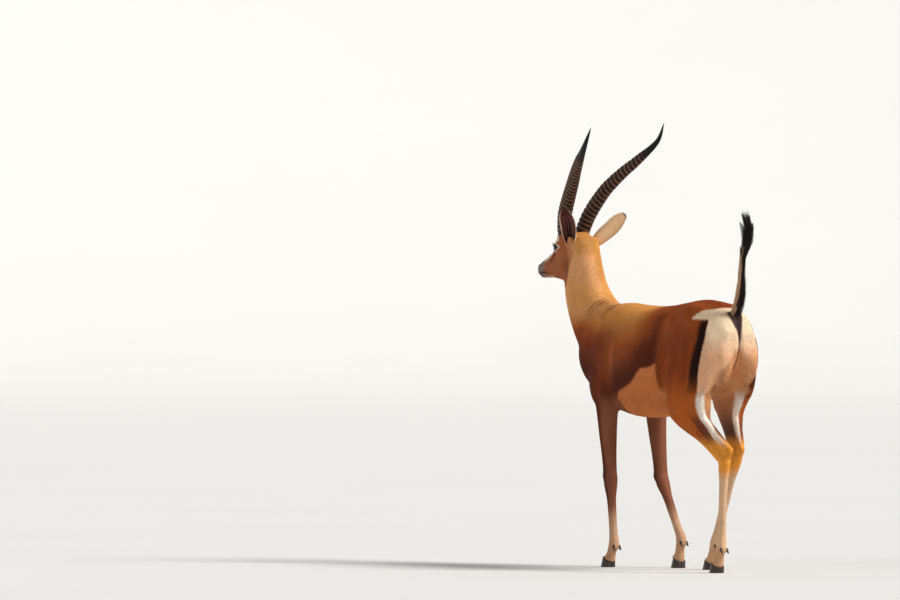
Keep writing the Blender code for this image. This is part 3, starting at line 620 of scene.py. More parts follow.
marksAndShades = {
    "lean": 0.55,  # the rump's edge is counted in u plus this share of the distance from the middle
    # height, then the rump's edge there
    "rumpLeft": ((0.525, 0.564, 0.582, 0.626, 0.690, 0.775, 0.820, 0.838),
                 (0.140, 0.144, 0.145, 0.137, 0.131, 0.114, 0.117, 0.121)),
    "rumpRight": ((0.525, 0.568, 0.602, 0.636, 0.670, 0.700, 0.770, 0.810, 0.840, 0.870),
                  (0.190, 0.190, 0.149, 0.110, 0.062, 0.050, 0.050, 0.064, 0.095, 0.121)),
    # height, then a width there or a distance from the middle
    "stripeWidth": ((0.600, 0.750, 0.830), (0.046, 0.049, 0.034)),
    "innerEdge": ((0.620, 0.644, 0.680, 0.725, 0.760), (0.072, 0.064, 0.052, 0.027, -0.010)),
    "cleftWidth": ((0.660, 0.770, 0.800, 0.830, 0.850), (0.002, 0.003, 0.008, 0.018, 0.023)),
    "flankHollow": ((0.700, 0.750, 0.800, 0.853), (0.460, 0.403, 0.378, 0.374)),
    # u, then the height there
    "hookTop": ((0.03, 0.080, 0.095, 0.115, 0.127, 0.147, 0.152),
                (0.878, 0.875, 0.871, 0.866, 0.856, 0.842, 0.838)),
    "hookBottom": ((0.03, 0.078, 0.147), (0.78, 0.838, 0.838)),
    "bellyEdge": ((0.20, 0.36, 0.40, 0.443, 0.50, 0.60, 0.66, 0.80),
                  (0.64, 0.692, 0.681, 0.666, 0.626, 0.588, 0.552, 0.535)),
    # height, then the place round the gaskin of its white line, and the line's half width, in degrees
    "lineLeft": ((0.420, 0.446, 0.472, 0.499, 0.527, 0.582, 0.610), (5, 7, 8, 7, 10, 13, 14)),
    "lineRight": ((0.420, 0.442, 0.469, 0.524, 0.580, 0.610), (-12, -15, -18, -22, -30, -33)),
    "lineHalf": ((0.410, 0.446, 0.472, 0.499, 0.610), (3, 6, 9, 13, 14)),
    # on the face, distance forward, then a half width or a height there
    "bridge": ((0.02, 0.08, 0.14, 0.20, 0.24), (0.030, 0.026, 0.020, 0.015, 0.012)),
    "paleStripe": ((0.04, 0.086, 0.13, 0.17, 0.21, 0.24), (0.050, 0.043, 0.024, 0.008, -0.004, -0.014)),
    "darkBand": ((0.09, 0.12, 0.16, 0.20), (0.013, 0.001, -0.017, -0.033)),
    "darkBandWidth": ((0.09, 0.12, 0.20), (0.0115, 0.0090, 0.0050)),
}


class Canvas:
    # points, where they lie on the animal, and the colour laid on them, one marking or patch of painted shade
    # after another
    def __init__(self, points, normals):
        self.points, self.normals = points, normals
        self.u, self.s, self.z = bodyPlace(points)
        self.share = regions(points)
        self.side = np.abs(self.s)
        self.wave = ripple(points, 60, 3) * 0.004
        self.colour = np.tile(toLinear(tones["rufous"]), (len(points), 1))

    def lay(self, tone, mask):
        self.colour = self.colour + (toLinear(tones[tone]) - self.colour) * np.clip(mask, 0, 1)[:, None]


def paintTrunk(canvas):
    u, z, side, wave, lay = canvas.u, canvas.z, canvas.side, canvas.wave, canvas.lay
    lay("saddle", ease(side, 0.075, 0.02) * ease(z, 0.80, 0.88) * ease(u, 0.62, 0.46))
    # the top of the back over the withers: sandy coat with a painted highlight
    lay("sandAndHighlight", ease(z, 0.74, 0.86) * ease(u, 0.42, 0.54) * ease(u, 0.86, 0.74) * 0.90)
    lay("shoulder", ease(u, 0.62, 0.72) * ease(z, 0.84, 0.74))
    # painted shade on the lower chest
    lay("shadedChest", ease(u, 0.70, 0.80) * ease(z, 0.76, 0.66))
    edge = np.interp(u, *marksAndShades["bellyEdge"])
    # the lower flank's dark band, partly its own colour and partly painted shade, reaching down into the fold
    # before the thigh
    lay("flankBandAndShade", ease(z, edge + 0.170, edge + 0.02) * ease(u, 0.320, 0.374) * ease(u, 0.76, 0.64) * 0.95)
    # painted shade in the hollow before the haunch
    hollow = bell(u + 2 * wave, np.interp(z, *marksAndShades["flankHollow"]), 0.034) * ease(side, 0.045, 0.080)
    lay("flankBandAndShade", hollow * ease(z, 0.690, 0.730) * ease(z, 0.872, 0.845) * 0.55)
    # a patch of painted shade behind the shoulder blade
    bladeShade = np.hypot((u - 0.655 - 0.5 * (z - 0.785)) / 0.030, (z - 0.785) / 0.042)
    lay("flankBandAndShade", bell(bladeShade, 0, 1.0) * ease(side, 0.045, 0.080) * 0.30)
    haunch = np.hypot((u - 0.235 + 6 * wave) / 0.150, (z - 0.715 + 5 * wave) / 0.130)
    lay("haunch", ease(haunch, 1.15, 0.55) * 0.85)
    # the pale belly patch, painted as in shade with warm reflected light
    under = ease(z + wave, edge + 0.005, edge - 0.005) * ease(u, 0.14, 0.20) * ease(u, 0.70, 0.62)
    thigh = ease(u, 0.375, 0.355) * ease(side, 0.066, 0.080)
    besideLeg = ease(side, 0.03, 0.06) * (ease(u, 0.60, 0.66) + ease(u, 0.42, 0.36))
    lay("shadedBelly", under * (1 - canvas.share["leg"] * besideLeg) * (1 - thigh))


def paintNeck(canvas):
    u, z, side, lay = canvas.u, canvas.z, canvas.side, canvas.lay
    onNeck, back = canvas.share["neck"], canvas.normals[:, 1]
    lay("neck", onNeck * ease(z, 0.79, 0.89))
    # painted shade on the side of the neck that faces forward
    lay("shadedNeckFront", onNeck * ease(back, -0.2, -0.8) * 0.8)
    poll = ease(z, 1.02, 1.09) * ease(back, -0.1, 0.5) * (1 - canvas.share["tail"])
    lay("nape", poll * ease(u, 0.7, 0.8) * 0.7)
    lay("nape", onNeck * ease(side, 0.036, 0.004) * ease(back, 0.0, 0.9) * 0.8)
    lay("nape", onNeck * bell(z, 0.905, 0.060) * ease(u, 0.70, 0.76) * ease(back, -0.6, 0.2) * 0.55)
    # painted shade: the colour darkens in the furrows between the folds
    furrowShade = np.clip(-neckFolds(canvas.points, u, z), 0, 1)
    canvas.colour = canvas.colour * (1 - 0.46 * furrowShade)[:, None]


def paintRump(canvas):
    # the pale rump with its hook, the dark stripe on each thigh, and what lies inside them, with painted
    # shade on the inner thighs, along the cleft and across the croup
    u, s, z, side, wave, lay = canvas.u, canvas.s, canvas.z, canvas.side, canvas.wave, canvas.lay
    lean = u + marksAndShades["lean"] * side
    back = np.where(s > 0, np.interp(z, *marksAndShades["rumpLeft"]), np.interp(z, *marksAndShades["rumpRight"]))
    broad = np.interp(z, *marksAndShades["stripeWidth"])
    rear = ease(lean + wave, back + 0.003, back - 0.003)
    hook = np.interp(u, *marksAndShades["hookTop"])
    hookLow = np.interp(u, *marksAndShades["hookBottom"])
    top = ease(z + wave, hook + 0.003, hook - 0.003)
    hooked = ease(z, hookLow - 0.004, hookLow + 0.002) * ease(u, 0.150, 0.144)
    rump = top * np.maximum(rear * ease(z, 0.585, 0.61), hooked)
    lay("rump", rump)
    lay("rumpLow", rump * ease(z + 3 * wave, 0.810, 0.700))
    stripe = ease(lean + wave, back - 0.002, back + 0.003)
    stripe = stripe * ease(lean + wave, back + broad + 0.017, back + broad - 0.017)
    lay("stripe", stripe * ease(z, 0.572, 0.61) * ease(z, 0.838, 0.828) * ease(side, 0.030, 0.045))
    inside = np.interp(z, *marksAndShades["innerEdge"])
    # painted shade: the inner thighs, and on the right the lower buttock, tan as pale fur in shade
    patch = ease(side + 2 * wave, inside + 0.012, inside - 0.016) * ease(z, 0.56, 0.60) * ease(u, 0.30, 0.24)
    lay("shadedInnerThigh", np.maximum(patch, 0.9 * rump * (s < 0) * ease(z + 2 * wave, 0.750, 0.685)))
    # painted shadow along the inner edge of the patch, between the buttocks
    lay("shadedInnerGaskin", patch * ease(side, inside - 0.020, inside - 0.002) * ease(z, 0.74, 0.70) * 0.40)
    # dark bare skin under the tail, and painted shadow in the crease between the buttocks
    cleft = np.interp(z, *marksAndShades["cleftWidth"])
    cleft = ease(side + 0.5 * wave, cleft + 0.005, cleft - 0.003) * ease(u, 0.058, 0.040)
    lay("bare", cleft * ease(z, 0.65, 0.70) * ease(z, 0.872, 0.860))
    # a thin line of painted shadow across the croup
    croupShadow = np.hypot(u - 0.180, side - 0.040) + 0.6 * np.abs((u - 0.180) - 1.35 * (side - 0.040))
    lay("stripe", bell(croupShadow, 0, 0.020) * ease(z, 0.872, 0.880) * 0.35)
    return rear


def paintHindleg(canvas, near, name, foremost, out, rear):
    z, wave, lay = canvas.z, canvas.wave, canvas.lay
    outward = canvas.normals[:, 0] * (1 if "left" in name else -1)
    # the side of the leg that faces inward, painted as in shade
    inner = ease(out, 0.25, -0.25) * ease(outward, -0.20, -0.55)
    lay("gaskin", near * ease(z, 0.665, 0.53) * (1 - rear) * 0.9)
    lay("shadedInnerThigh", near * inner * ease(z + 3 * wave, 0.76, 0.66))
    turn = np.degrees(np.arctan2(out, -foremost))  # 0 at the leg's rear, 90 at its outer side
    middle = np.interp(z, *marksAndShades["lineLeft" if "left" in name else "lineRight"])
    half = np.interp(z, *marksAndShades["lineHalf"])
    # painted shade inward of the white line
    lay("shadedInnerThigh", near * ease(turn, middle + 10, middle - 4) * ease(z, 0.62, 0.56))
    # deeper painted shade on the inner gaskin
    lay("shadedInnerGaskin", near * ease(turn, middle, middle - 16) * ease(z, 0.58, 0.46))
    # painted shade in the groove in front of the tendon
    hollow = ease(turn, middle + half - 2, middle + half + 5) * ease(foremost, -0.20, -0.55)
    lay("hollow", near * hollow * ease(z, 0.405, 0.425) * ease(z, 0.535, 0.495) * 0.8)
    line = ease(np.abs(turn - middle + wave * 700), half + 4, half - 3)
    lay("legLine", near * line * ease(z, 0.398, 0.412) * ease(z, 0.612, 0.572))
    lay("hock", near * ease(z, 0.46, 0.41))
    lay("cannon", near * ease(z, 0.35, 0.30))
    lay("hock", near * ease(z, 0.35, 0.30) * ease(foremost, 0.3, 0.9) * 0.35)


def paintForeleg(canvas, near, foremost, out):
    z, lay = canvas.z, canvas.lay
    # the foreleg's own colours, paler behind and inside, all darkened as painted shade; the dark knee brush
    # too
    lay("shadedForeFront", near)
    lay("shadedForeBack", near * ease(foremost, 0.15, -0.45))
    lay("shadedForeBack", near * ease(out, 0.0, -0.5))
    lay("knee", near * bell(z, 0.315, 0.060) * ease(foremost, -0.8, 0.0) * 0.85)
    lay("cannon", near * ease(z, 0.225, 0.140) * 0.7)


def paintLegs(canvas, rear):
    u, s, z = canvas.u, canvas.s, canvas.z
    for name in legs["joints"]:
        onSide = (s > 0) if "left" in name else (s < 0)
        foremost, out = legPlace(canvas.points, name)
        near = onSide * ease(foremost, -3.6, -3.0) * ease(foremost, 1.9, 1.5) * ease(np.abs(out), 2.2, 1.7)
        if "hind" in name:
            near = near * (u < 0.46)
            paintHindleg(canvas, near, name, foremost, out, rear)
        else:
            near = near * (u > 0.46) * ease(z, 0.60, 0.54)
            near = near * np.maximum(ease(z, 0.52, 0.49), ease(foremost, -1.9, -1.3))
            paintForeleg(canvas, near, foremost, out)
        canvas.lay("pastern", near * ease(z, 0.10, 0.06) * 0.7)


def paintTail(canvas):
    # dark below, which faces back while the tail is raised, and pale at its sides
    u, z, normals, lay = canvas.u, canvas.z, canvas.normals, canvas.lay
    onTail = canvas.share["tail"]
    lay("tailPale", onTail)
    turned = normals[:, 1] - 0.55 * normals[:, 0] * ease(z, 0.900, 0.945)
    lay("tailDark", onTail * ease(turned, 0.35, 0.60))
    root = ease(canvas.side, 0.024, 0.016) * ease(u, 0.034, 0.024) * ease(z, 0.846, 0.858)
    lay("tailDark", root * ease(z, 0.91, 0.89) * ease(normals[:, 1], 0.25, 0.55))
    lay("tailDark", onTail * ease(z, 1.02, 1.06))


def paintFace(canvas):
    points, mask = canvas.points, canvas.share["head"]
    forward, left, up = headPlace(points)
    side = np.abs(left)
    lift = canvas.normals @ np.array(tiltedHead.to_3x3() @ Vector((0, 0, 1)))

    def paint(tone, cover):
        canvas.lay(tone, cover * mask)

    paint("cheek", np.ones(len(points)))
    paint("neck", ease(forward, 0.03, -0.02) * 0.7)
    paint("jawShade", bell(forward - 0.35 * (up + 0.06), 0.020, 0.030) * ease(up, -0.010, -0.060) * 0.60)
    poll = ease(forward, 0.060, 0.010) * ease(side, 0.054, 0.040) * ease(up, -0.060, 0.020)
    paint("nape", poll * 0.85)
    bridge = np.interp(forward, *marksAndShades["bridge"])
    bridge = bridge + 0.0012 * ripple(points, 130, 12)
    top = ease(side, bridge + 0.003, bridge - 0.002) * ease(lift, 0.1, 0.35)
    paint("forehead", top * ease(forward, 0.05, 0.07) * ease(forward, 0.236, 0.224))
    paint("noseBand", top * ease(forward + 4 * side**1.5, 0.176, 0.204) * ease(forward, 0.240, 0.222))
    height = np.interp(forward, *marksAndShades["paleStripe"])
    stripe = bell(up, height, 0.0095) * ease(side, bridge - 0.003, bridge + 0.003)
    paint("faceWhite", ease(stripe, 0.35, 0.6) * ease(forward, 0.055, 0.07) * ease(forward, 0.236, 0.222))
    dark = np.interp(forward, *marksAndShades["darkBand"])
    broad = np.interp(forward, *marksAndShades["darkBandWidth"])
    band = bell(up + 0.0016 * ripple(points, 160, 6), dark, broad) * ease(side, 0.012, 0.018)
    band = ease(band, 0.10, 1.05) * ease(forward, 0.088, 0.106) * ease(forward, 0.212, 0.150)
    paint("noseBand", band * 0.72)
    # the pale muzzle, painted grey-brown as in shade
    paint("shadedMuzzle", ease(forward, 0.206, 0.226) * ease(side + (0.0 - up) * 0.6, 0.016, 0.024))
    paint("shadedMuzzle", ease(forward, 0.228, 0.244))
    paint("chin", ease(up, -0.058, -0.068) * ease(forward, 0.16, 0.20))
    paint("noseBand", ease(forward, 0.238, 0.254) * ease(up, -0.030, -0.016) * 0.75)
    paint("noseBand", bell(up, -0.046, 0.0050) * ease(forward, 0.200, 0.222) * 0.55)
    paint("lids", nosePad(forward, side, up) * 0.9)
    for sign in (1, -1):
        local = inEye(points, sign)
        near = ease(np.linalg.norm(local, axis=1), 0.034, 0.030) * (local[:, 2] > 0)
        ring = lidEdge(local)
        paint("faceWhite", near * ease(ring, 1.95, 1.55) * (0.45 + 0.35 * ease(local[:, 1], -0.006, 0.010)))
        paint("lids", near * ease(ring, 1.36, 1.20))
        paint("lids", ease(nostrilMask(forward, left * sign, up), 0.05, 0.25))
    paint("lids", bell(up, mouthHeight(forward), 0.0017) * ease(forward, 0.192, 0.206) * 0.8)


def coatColours(points, normals):
    canvas = Canvas(points, normals)
    paintTrunk(canvas)
    paintNeck(canvas)
    rear = paintRump(canvas)
    paintLegs(canvas, rear)
    paintTail(canvas)
    paintFace(canvas)
    return canvas.colour


# The skin: one mesh for all the flesh

skinForm = {
    "voxel": 0.0032,
    "trunkSoftening": 63,
    "legWeight": 0.12,
    "headWeight": 0.09,
    "coatDepth": 0.0022,  # how far the skin lies inside the solids on the trunk
    "faceCoatDepth": 0.0009,
    "triangles": 190000,
    "foldHeight": 0.0040,
    "foldSpacing": 0.0170,
    "ribHeight": 0.00018,
    "ribSpacing": 0.033,
    # furrows between muscles: from and to (u, height), half width, depth
    "grooves": (
        ((0.635, 0.845), (0.655, 0.600), 0.034, 0.0060),
        ((0.735, 0.865), (0.790, 0.720), 0.022, 0.0040),
        ((0.745, 0.690), (0.700, 0.585), 0.018, 0.0036),
        ((0.835, 0.760), (0.900, 0.960), 0.020, 0.0032),
        ((0.345, 0.850), (0.315, 0.700), 0.034, 0.0050),
        ((0.382, 0.840), (0.440, 0.720), 0.024, 0.0032),
        ((0.105, 0.800), (0.085, 0.640), 0.014, 0.0028),
        ((0.205, 0.790), (0.170, 0.640), 0.024, 0.0038),
    ),
    "mouthDepth": 0.0018,
    "tendonDepth": 0.0014,
    # finer skin: how far round the eyes, from how far forward, and how readily it is thinned again
    "fineZones": ((0.034, 0.150, 0.8), (0.027, 0.232, 0.6)),
}


def skinVolumes():
    bm = bmesh.new()
    rings = []
    for u, *sizes in spread(trunk["sections"], 4):
        rings.append([at(u, s, z) for s, z in section(*sizes, 2.3)])
    addTube(bm, rings)
    for u, s, z, length, width, height, tilt in trunk["muscles"]:
        for side in (1, -1):
            place = Matrix.Translation(at(u, side * s, z)) @ Matrix.Rotation(math.radians(tilt), 4, "X")
            addBall(bm, place, (width, length, height))
    place, radii = trunk["breast"]
    addBall(bm, Matrix.Translation(at(*place)), radii)
    rows = spread([(*at(u, s, z), depth, width) for u, s, z, depth, width in neck["sections"]], 4)
    addLimb(bm, [(Vector(row[:3]), row[3], row[4]) for row in rows], 36)
    rings = []
    for forward, *sizes in spread(skull["sections"], 4):
        rings.append([inHead(forward, left, up) for left, up in section(*sizes, 2.15)])
    addTube(bm, rings)
    for side in (1, -1):
        for forward, left, up, length, width, height, tilt in skull["forms"]:
            place = tiltedHead @ Matrix.Translation((side * left, -forward, up))
            addBall(bm, place @ Matrix.Rotation(math.radians(tilt), 4, "X"), (width, length, height))
        addLidRing(bm, side)
        base, way = earAxes("left" if side > 0 else "right")[:2]
        addStrand(bm, Vector(base - 0.012 * way), Vector(base + 0.020 * way), 0.0165, 0.0115)
        low, high = hornCurve(side)[:2]
        addStrand(bm, low, low.lerp(high, 0.50), 0.0290, 0.0262, 24)
    for name, joints in legs["joints"].items():
        addLeg(bm, name, [at(*joint) for joint in joints])
    steps = np.linspace(0, tail["dockEnd"], 28)
    centres, girths = tailPoint(steps)
    addLimb(bm, [(Vector(c), g * 0.72, g * 0.84) for c, g in zip(centres, girths)], 20)
    return newObject("skin", bm)


def addLidRing(bm, side):
    lids = eyeFrame(side)
    turns = 24
    wide, high, forward = eye["rim"]
    ring = []
    for k in range(turns):
        angle = 2 * math.pi * k / turns
        ring.append(lids @ Vector((math.cos(angle) * wide, math.sin(angle) * high, forward)))
    for start, end in zip(ring, ring[1:] + ring[:1]):
        addStrand(bm, start, end, eye["rimThickness"], eye["rimThickness"], 10)


def addLeg(bm, name, joints):
    hind = name.startswith("hind")
    addLimb(bm, legStations(name))
    middle, ankle = joints[2:4]
    if hind:
        pointOfHock = middle + Vector((0, 0.034, 0.030))
        addStrand(bm, middle + Vector((0, 0.004, 0)), pointOfHock, 0.019, 0.0135)
        stifle = joints[1]
        calf = stifle.lerp(middle, 0.35) + Vector((0, 0.060, 0.012))
        addStrand(bm, pointOfHock, calf, 0.0115, 0.022)
        kneecap = stifle + Vector((0, -0.016, 0.010))
        addStrand(bm, kneecap, kneecap + Vector((0, 0.004, -0.040)), 0.030, 0.026)
        ham = joints[0].lerp(stifle, 0.72) + Vector((0, 0.125, 0))
        gaskin = stifle.lerp(middle, 0.45) + Vector((0, 0.026, 0.010))
        addStrand(bm, ham, gaskin, 0.044, 0.027)
    else:
        elbow = joints[1]
        addStrand(bm, elbow + Vector((0, 0.036, 0.012)), elbow + Vector((0, 0.020, -0.03)), 0.022, 0.020)
        backOfKnee = middle + Vector((0, 0.012, -0.004))
        addStrand(bm, backOfKnee, backOfKnee + Vector((0, 0.002, -0.010)), 0.014, 0.012)
    heel = ankle + Vector((0, 0.010, -0.006))
    addStrand(bm, heel, heel + Vector((0, 0.003, -0.010)), 0.0135, 0.0115)
    for sideways in (0.010, -0.010):
        dewclaw = ankle + Vector((sideways, 0.013, -0.008))
        addStrand(bm, dewclaw, dewclaw + Vector((0, 0.008, -0.010)), 0.0058, 0.0034, 10)


def finer(obj, chosen):
    # one more cut through every edge whose two ends are chosen
    bm = bmesh.new()
    bm.from_mesh(obj.data)
    bm.verts.ensure_lookup_table()
    edges = [edge for edge in bm.edges if chosen[edge.verts[0].index] and chosen[edge.verts[1].index]]
    bmesh.ops.subdivide_edges(bm, edges=edges, cuts=1, use_grid_fill=True)
    bm.to_mesh(obj.data)
    bm.free()


def faceZone(points, eyeReach, muzzleStart):
    # where finer skin is wanted: round the eyes and on the muzzle
    zone = headPlace(points)[0] > muzzleStart
    for sign in (1, -1):
        zone |= eyeDistance(points, sign) < eyeReach
    return zone


def neckFolds(points, u, z):
    # loose skin in arcs where the neck meets the shoulder, from -1 in a furrow to 1 on a fold
    arc = u + 0.016 * ((z - 0.850) / 0.040) ** 2 + 0.009 * ripple(points, 15, 8)
    fold = np.sin(arc * 2 * math.pi / skinForm["foldSpacing"] + ripple(points, 40, 4))
    zone = ease(arc, 0.715, 0.742) * ease(arc, 0.835, 0.800) * ease(z, 0.785, 0.82) * ease(z, 0.925, 0.895)
    ridge = np.abs(points[:, 0] - origin.x - bend(u))
    zone = zone * (0.12 + 0.88 * ease(ridge, 0.012, 0.045))
    return zone * (fold - 0.3) * np.clip(0.75 + 0.5 * ripple(points, 26, 9), 0, 1.2)


def sculptTrunk(move, normals, u, s, z):
    side = np.abs(s)
    up = ease(normals[:, 2], 0.6, 0.9)
    # ribs under the flank
    rib = np.sin((u + 0.30 * z) * 2 * math.pi / skinForm["ribSpacing"])
    rib = skinForm["ribHeight"] * rib * ease(u, 0.43, 0.50) * ease(u, 0.70, 0.62)
    move += rib * ease(z, 0.60, 0.66) * ease(z, 0.82, 0.76)
    # the spine's ridge, the hollow before the thigh, and the seams between the thigh's muscles
    move += 0.0022 * bell(s, 0, 0.008) * ease(u, 0.10, 0.20) * ease(u, 0.72, 0.60) * up
    hollow = 0.0070 * bell(u, 0.385 - 0.25 * (z - 0.70), 0.030) * bell(z, 0.735, 0.080)
    move -= hollow * ease(side, 0.08, 0.11)
    move -= 0.0075 * bell(s, 0, 0.0085) * ease(u, 0.16, 0.10) * ease(z, 0.600, 0.660) * ease(z, 0.862, 0.835)
    swing = np.where(s < 0, 0.058 * ease(z, 0.80, 0.60), 0.0)
    seam = u - swing - 0.118 - 0.25 * (0.70 - z) - 0.012 * np.sin(z * 28)
    move -= 0.0022 * bell(seam, 0, 0.019) * ease(z, 0.58, 0.66) * ease(z, 0.82, 0.74) * ease(side, 0.07, 0.09)
    for (u1, z1), (u2, z2), width, depth in skinForm["grooves"]:
        shift = swing if u1 < 0.3 else 0.0
        along = (u - shift - u1) * (u2 - u1) + (z - z1) * (z2 - z1)
        along = np.clip(along / ((u2 - u1) ** 2 + (z2 - z1) ** 2), 0, 1)
        away = np.hypot(u - shift - u1 - along * (u2 - u1), z - z1 - along * (z2 - z1))
        furrow = depth * bell(away, 0, width) * np.sin(math.pi * (0.12 + 0.76 * along))
        move -= furrow * ease(side, 0.03, 0.055)


def sculptLegs(move, points, s, z):
    # tendons and knee wrinkles
    for name in legs["joints"]:
        onSide = (s > 0) if "left" in name else (s < 0)
        front, out = legPlace(points, name)
        near = onSide * ease(np.abs(front), 1.7, 1.4) * ease(np.abs(out), 1.8, 1.5)
        cannon = near * ease(z, 0.115, 0.15) * ease(z, 0.285, 0.25)
        move -= skinForm["tendonDepth"] * cannon * bell(front, -0.28, 0.20)
        if "hind" in name:
            calf = near * ease(z, 0.40, 0.44) * ease(z, 0.56, 0.50)
            move -= 0.0030 * calf * bell(front, -0.42, 0.16)
            move -= 0.0034 * calf * bell(front, -1.05, 0.45) * ease(out, 0.1, 0.4)
        else:
            wrinkle = np.sin(z * 2 * math.pi / 0.0095 + front)
            move += 0.0006 * near * wrinkle * bell(z, 0.298, 0.022) * ease(front, -0.2, 0.4)
            move += 0.0016 * near * bell(z, 0.312, 0.012) * ease(front, 0.2, 0.7)
            move -= 0.0016 * near * bell(z, 0.288, 0.010) * ease(front, 0.2, 0.7)


def sculptFace(move, points, onFace):
    # mouth, nostrils, the pit before the eye, the veins of the cheek
    forward, left, up = headPlace(points)
    mouth = mouthHeight(forward)
    line = ease(forward, 0.188, 0.204) * onFace
    move -= skinForm["mouthDepth"] * line * bell(up, mouth, 0.0013)
    move += 0.0009 * line * (bell(up, mouth + 0.0042, 0.0024) + bell(up, mouth - 0.0042, 0.0024))
    for sign in (1, -1):
        move -= 0.0058 * nostrilMask(forward, left * sign, up)
        rim = np.stack([(forward - 0.2625) / 1.5, left * sign - 0.0160, up + 0.0235], 1)
        move += 0.0014 * bell(np.linalg.norm(rim, axis=1), 0.0072, 0.0022) * onFace
    pit = np.sqrt(((forward - 0.122) / 0.016) ** 2 + ((up - 0.002) / 0.0055) ** 2)
    move -= 0.0020 * bell(pit, 0, 0.8) * onFace
    vein = up + 0.030 + 0.35 * (forward - 0.10)
    move += 0.0008 * bell(vein, 0, 0.0035) * ease(forward, 0.06, 0.09) * ease(forward, 0.19, 0.16) * onFace
    lip = 0.0016 * bell(np.abs(left), 0, 0.0045) * ease(forward, 0.255, 0.268) * onFace
    move -= lip * ease(up, -0.046, -0.036)


def sculpt(points, normals):
    # how far each point moves out along its normal
    u, s, z = bodyPlace(points)
    share = regions(points)
    move = skinForm["foldHeight"] * neckFolds(points, u, z)
    sculptTrunk(move, normals, u, s, z)
    sculptLegs(move, points, s, z)
    sculptFace(move, points, share["head"])
    # the skin lies inside the solids by the coat's depth
    depth = skinForm["coatDepth"] * (1 - share["head"]) * (1 - 0.45 * share["leg"])
    return move - depth - skinForm["faceCoatDepth"] * share["head"]


def nosePad(forward, side, up):
    # bare skin between the nostrils, drawn down to the lip
    width = np.interp(up, (-0.046, -0.038, -0.029, -0.021, -0.016), (0.0012, 0.0024, 0.0088, 0.0094, 0.0030))
    within = ease(forward, 0.260, 0.267) * ease(side, width + 0.0014, width - 0.0014)
    return within * ease(up, -0.0465, -0.043)


def nostrilMask(forward, outward, up):
    # a comma-shaped slit that opens forward and to the side
    turn = math.radians(38)
    across = (forward - 0.2640) * math.cos(turn) + (up + 0.0245) * math.sin(turn)
    rise = -(forward - 0.2640) * math.sin(turn) + (up + 0.0245) * math.cos(turn)
    slit = np.sqrt((across / 0.0064) ** 2 + ((rise - 9.0 * across**2) / 0.0021) ** 2)
    return bell(slit, 0, 0.85) * ease(outward, 0.004, 0.008)


def openHeight(x):
    # half height of the opening between the lids, which narrows to its corners
    return eye["openHigh"] * (1 - 0.45 * ease(np.abs(x), 0.005, 0.0165))


def lidEdge(local):
    # 1 on the edge of the lids, in an eye's own frame: an almond whose upper lid is the fuller
    high = openHeight(local[:, 0]) * np.where(local[:, 1] > 0, 1.06, 0.90)
    return np.sqrt((local[:, 0] / eye["openWide"]) ** 2 + (local[:, 1] / high) ** 2)


def closeLids(points):
    # the skin covers the eyeball except between the lids, where it dips under it
    for sign in (1, -1):
        local = inEye(points, sign)
        reach = np.linalg.norm(local, axis=1)
        near = (reach < eye["radius"] * 1.9) & (local[:, 2] > -0.010)
        covered = ease(lidEdge(local), 0.97, 1.06)
        above = np.maximum(reach, eye["radius"] + eye["lidThickness"])
        below = np.minimum(reach, eye["radius"] * 0.90)
        wanted = below * (1 - covered) + above * covered
        wanted = np.where(local[:, 2] > 0.002, wanted, above)
        scaled = local * (wanted / np.maximum(reach, 1e-6))[:, None]
        points = np.where(near[:, None], carried(scaled, eyeFrame(sign)), points)
    return points


def footPlace(points, joints):
    # points from the middle of a sole, which of them stand over it, and how far above the hoof's upper edge
    local = points - np.array(at(*joints[4]))
    over = (np.abs(local[:, 0]) < 0.05) & (np.abs(local[:, 1]) < 0.07)
    return local, over, local[:, 2] - (hoof["coronetHeight"] - hoof["coronetSlope"] * local[:, 1])


def tuckFeet(points):
    # below the coronet the flesh draws in, so that the hooves hide it
    for joints in legs["joints"].values():
        local, over, above = footPlace(points, joints)
        near = over & (local[:, 2] < 0.06)
        shrink = 1 - 0.42 * ease(above, 0.002, -0.006)
        moved = local.copy()
        centre = 0.0125
        reach = 1 + hoof["coronetSwell"] * ease(above, 0.022, 0.003) * ease(local[:, 1], centre, -0.004)
        moved[:, 1] = centre + (moved[:, 1] - centre) * reach
        moved[:, 0] *= shrink
        moved[:, 1] *= shrink
        moved[:, 2] = np.maximum(moved[:, 2], 0.004)
        points = np.where(near[:, None], moved + np.array(at(*joints[4])), points)
    return points


hoof = {
    "length": 0.064,
    "clawWidth": 0.0205,
    "coronetHeight": 0.031,
    "coronetSlope": 0.35,
    "cleft": 0.0012,
    "rings": 7,
    "ringHeight": 0.0045,  # as a share of the hoof's reach
    "coronetSwell": 0.55,  # how far the flesh spreads forward to the hoof's upper edge
}


